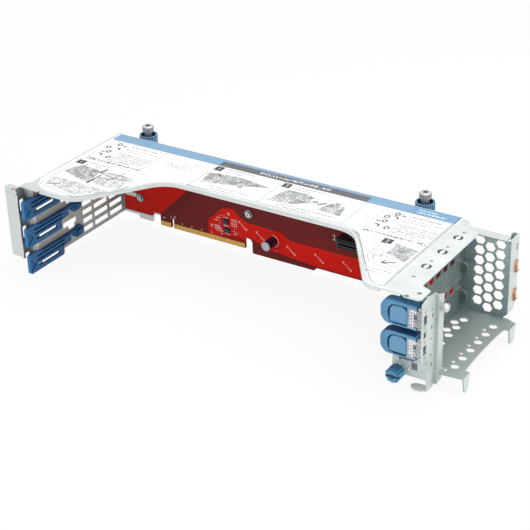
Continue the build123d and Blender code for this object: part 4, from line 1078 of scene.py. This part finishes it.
# Earthing springs: two folded beryllium-copper fingers on the vent bracket's flange.
copper = plastic(
    "spring_copper", (0.66, 0.36, 0.22), 0.30, mottle=0.18, scale=260, bump=0.05, metallic=0.75
)
dress(["emi_springs"], copper)


def right_side(x):
    """A face turned to the right."""
    return (lambda y, z: place(x, y, z), Vector((1, 0, 0)))


flange_face = right_side(367.01)
# Painted shade: two dark dent marks on the flange, and a grey ring round a pale dent.
dent_shade = oval(121.2, -7.2, 0.9, 0.7, 0.5, 8) + oval(120.6, -10.4, 1.2, 0.9, 0.5, 8)
ink("flange_dent_shade", dent_shade, flange_face, shadow_metal)
emboss = oval(121.0, -8.6, 1.0, 1.4, 0.7, 12)
ink("flange_emboss", emboss, flange_face, dimple_metal)
# Painted shade beside and below each spring, laid on the springs' face.
shade_marks = []
for low in (-28.6, -52.0):
    shade_marks += [block(117.1, low + 1.2, 117.9, low + 5.6), block(117.1, low + 0.1, 122.6, low + 1.0)]
    shade_marks += [block(119.2, low + 3.4, 120.6, low + 3.9)]
ink("spring_shade_marks", shade_marks, right_side(368.62), shadow_metal)

# Latches: two glass-filled nylon levers on a common post. Each has a press-in release button in a
# groove whose dark floor is painted shade, and a stamped, perforated hinge leaf. The levers' upper
# and lower faces are painted darker as painted shade.
lever_blue = plastic("lever_plastic", (0.095, 0.285, 0.47), 0.40, mottle=0.05, scale=50, bump=0.06)
tree = lever_blue.node_tree
# Painted shade: upper and lower faces darker, the lower latch's upper faces darker still, and the
# groove's floor nearly black.
tone_over(lever_blue, *facing(tree, up), (0.040, 0.19, 0.37))
tone_over(lever_blue, *facing(tree, [(0, 0, -1)]), (0.012, 0.075, 0.19))
shaded = beyond(tree, up, "Z", "LESS_THAN", place(0, 0, -27.5).z)
tone_over(lever_blue, *shaded, (0.012, 0.085, 0.21))
groove = beyond(tree, near, "Y", "GREATER_THAN", place(0, 4.3, 0).y)
tone_over(lever_blue, *groove, (0.004, 0.035, 0.10))
dress(["upper_latch", "lower_latch"], lever_blue)
button_blue = plastic(
    "button_plastic", (0.135, 0.325, 0.54), 0.42, mottle=0.03, scale=50, bump=0.05
)
dress(["upper_latch_button", "lower_latch_button"], button_blue)
leaf_highlight = sheet_metal("leaf_dot", (0.98, 0.98, 0.97), (0.90, 0.90, 0.89), 0.25, 0.2)
leaf_metal = sheet_metal("leaf_steel", (0.56, 0.58, 0.62), (0.36, 0.38, 0.42), 0.28, 0.7, bump=0.15)
dress(["upper_latch_leaf", "lower_latch_leaf"], leaf_metal)
pivot_blue = plastic("pivot_plastic", (0.01, 0.03, 0.07), 0.3, mottle=0.1)
leaf_front = 2.49
# Painted highlight: near-white dots on the leaf's perforations. Painted shade: a dark spot below
# and left of each dot, and a few more.
dots = []
spots = []
for x, z in (
    (343.6, -10.2), (343.6, -12.4), (343.6, -14.8), (343.6, -17.2), (343.6, -19.4), (345.3, -9.4),
    (345.3, -11.5), (345.3, -13.8), (345.3, -16.2), (345.3, -18.4), (345.3, -20.8), (347.0, -10.0),
):
    dots.append(block(x - 0.6, z - 0.75, x + 0.6, z + 0.75))
    spots.append(block(x - 0.95, z - 1.15, x - 0.62, z - 0.75))
spots += [block(346.9, -17.3, 348.4, -16.6), block(348.6, -19.4, 349.3, -18.0)]
spots += [block(346.4, -22.2, 348.0, -21.4), block(348.4, -12.0, 349.2, -11.0)]
spots.append(block(349.0, -15.8, 349.6, -14.6))
pivot = oval(347.2, -13.9, 0.8, 1.1, 0.9, 14)
grips = []
for index in range(4):
    x = 321.3 + index * 0.9
    half = 3.6 + index * 0.75
    grips += stroke([(x, -15.1 - half), (x, -15.1 + half)], 0.28)


def rounded_end(drop):
    """The lever's face, which falls back beyond its grip."""
    grip_start = 321.6
    return (
        lambda x, z: place(x, leaf_front + max(0, grip_start - x) * 0.5, z - drop),
        Vector((0, -1, 0)),
    )


for side, drop in (("upper", 0.0), ("lower", 23.4)):
    leaf_face = near_side(leaf_front, drop)
    body = f"{side}_latch"
    ink(f"{side}_leaf_dots", dots, leaf_face, leaf_highlight, body, coat=0.12)
    ink(f"{side}_leaf_hole_shade", spots, leaf_face, shadow_metal, body)
    ink(f"{side}_leaf_pivot", pivot, leaf_face, pivot_blue, body)
    lever_end = rounded_end(drop)
    ink(f"{side}_latch_grips", grips, lever_end, button_blue, body, coat=0.12)

# Thumbscrew knobs: moulded on their screws, in a slightly greener blue at the near side. Their
# upward faces are painted darker as painted shade.
near_blue = plastic(
    "near_knob_plastic", (0.060, 0.25, 0.43), 0.35, mottle=0.08, bump=0.05,
    turned=((0.030, 0.13, 0.26), up),
)
dress(["near_knob"], near_blue)
# Painted shade: a dark disc where the screw passes through the near knob.
bore_shade = [
    (near_axis[0] + 1.5 * math.cos(turn), near_axis[1] + 1.5 * math.sin(turn))
    for turn in [math.radians(angle) for angle in range(0, 360, 30)]
]
ink("near_knob_bore_shade", [bore_shade], near_side(-1.005), pivot_blue, "near_thumbscrew")
# Painted shade: the rear knobs' upward faces are nearly black.
rear_blue = plastic(
    "rear_knob_plastic", (0.020, 0.095, 0.20), 0.38, mottle=0.08, bump=0.05,
    turned=((0.004, 0.008, 0.018), up),
)
dress(["rear_left_knob", "rear_right_knob"], rear_blue)
# Painted highlight: the knurl's ridges are real, their lighter blue is painted highlight, as is the
# ring round each rear knob's top edge.
rib_highlight_blue = plastic("rear_knob_rib_highlight", (0.16, 0.36, 0.58), 0.38, mottle=0.08, bump=0.05)
rib_count = 24
rib_radius = 0.00745
rib_size = (0.0002, 0.0008, 0.0088)
bpy.ops.object.select_all(action="DESELECT")
bpy.ops.mesh.primitive_cube_add(size=1.0)
knurl = bpy.context.object
bpy.ops.object.mode_set(mode="EDIT")
bpy.ops.mesh.delete(type="VERT")
for index in range(rib_count):
    turn = 2 * math.pi * (index + 0.5) / rib_count
    bpy.ops.mesh.primitive_cube_add(
        size=1.0, location=(rib_radius * math.cos(turn), rib_radius * math.sin(turn), 0),
        rotation=(0, 0, turn), scale=rib_size,
    )
bpy.ops.object.mode_set(mode="OBJECT")
knurl.data.materials.append(rib_highlight_blue)
for side, centre in rear_axes:
    body = f"rear_{side}_thumbscrew"
    rim = oval(centre, rear_row, 6.9, 6.9, 1.1, 40)
    ink(f"rear_{side}_knob_rim_highlight", rim, upper_side(1.31), rib_highlight_blue, body)
    spot = place(centre, rear_row, -3.4)
    copy_to(knurl, f"rear_{side}_knob_knurl", spot, body=body)
bpy.data.objects.remove(knurl)

# Sheet behind the panel's small window: plated steel in the walls' dark painted shade, spot welded
# to the panel's far side.
window = [block(339.5, -63.0, 346.8, -53.6)]
ink("panel_window_back", window, near_side(12.1), wall_plated, coat=0.08)
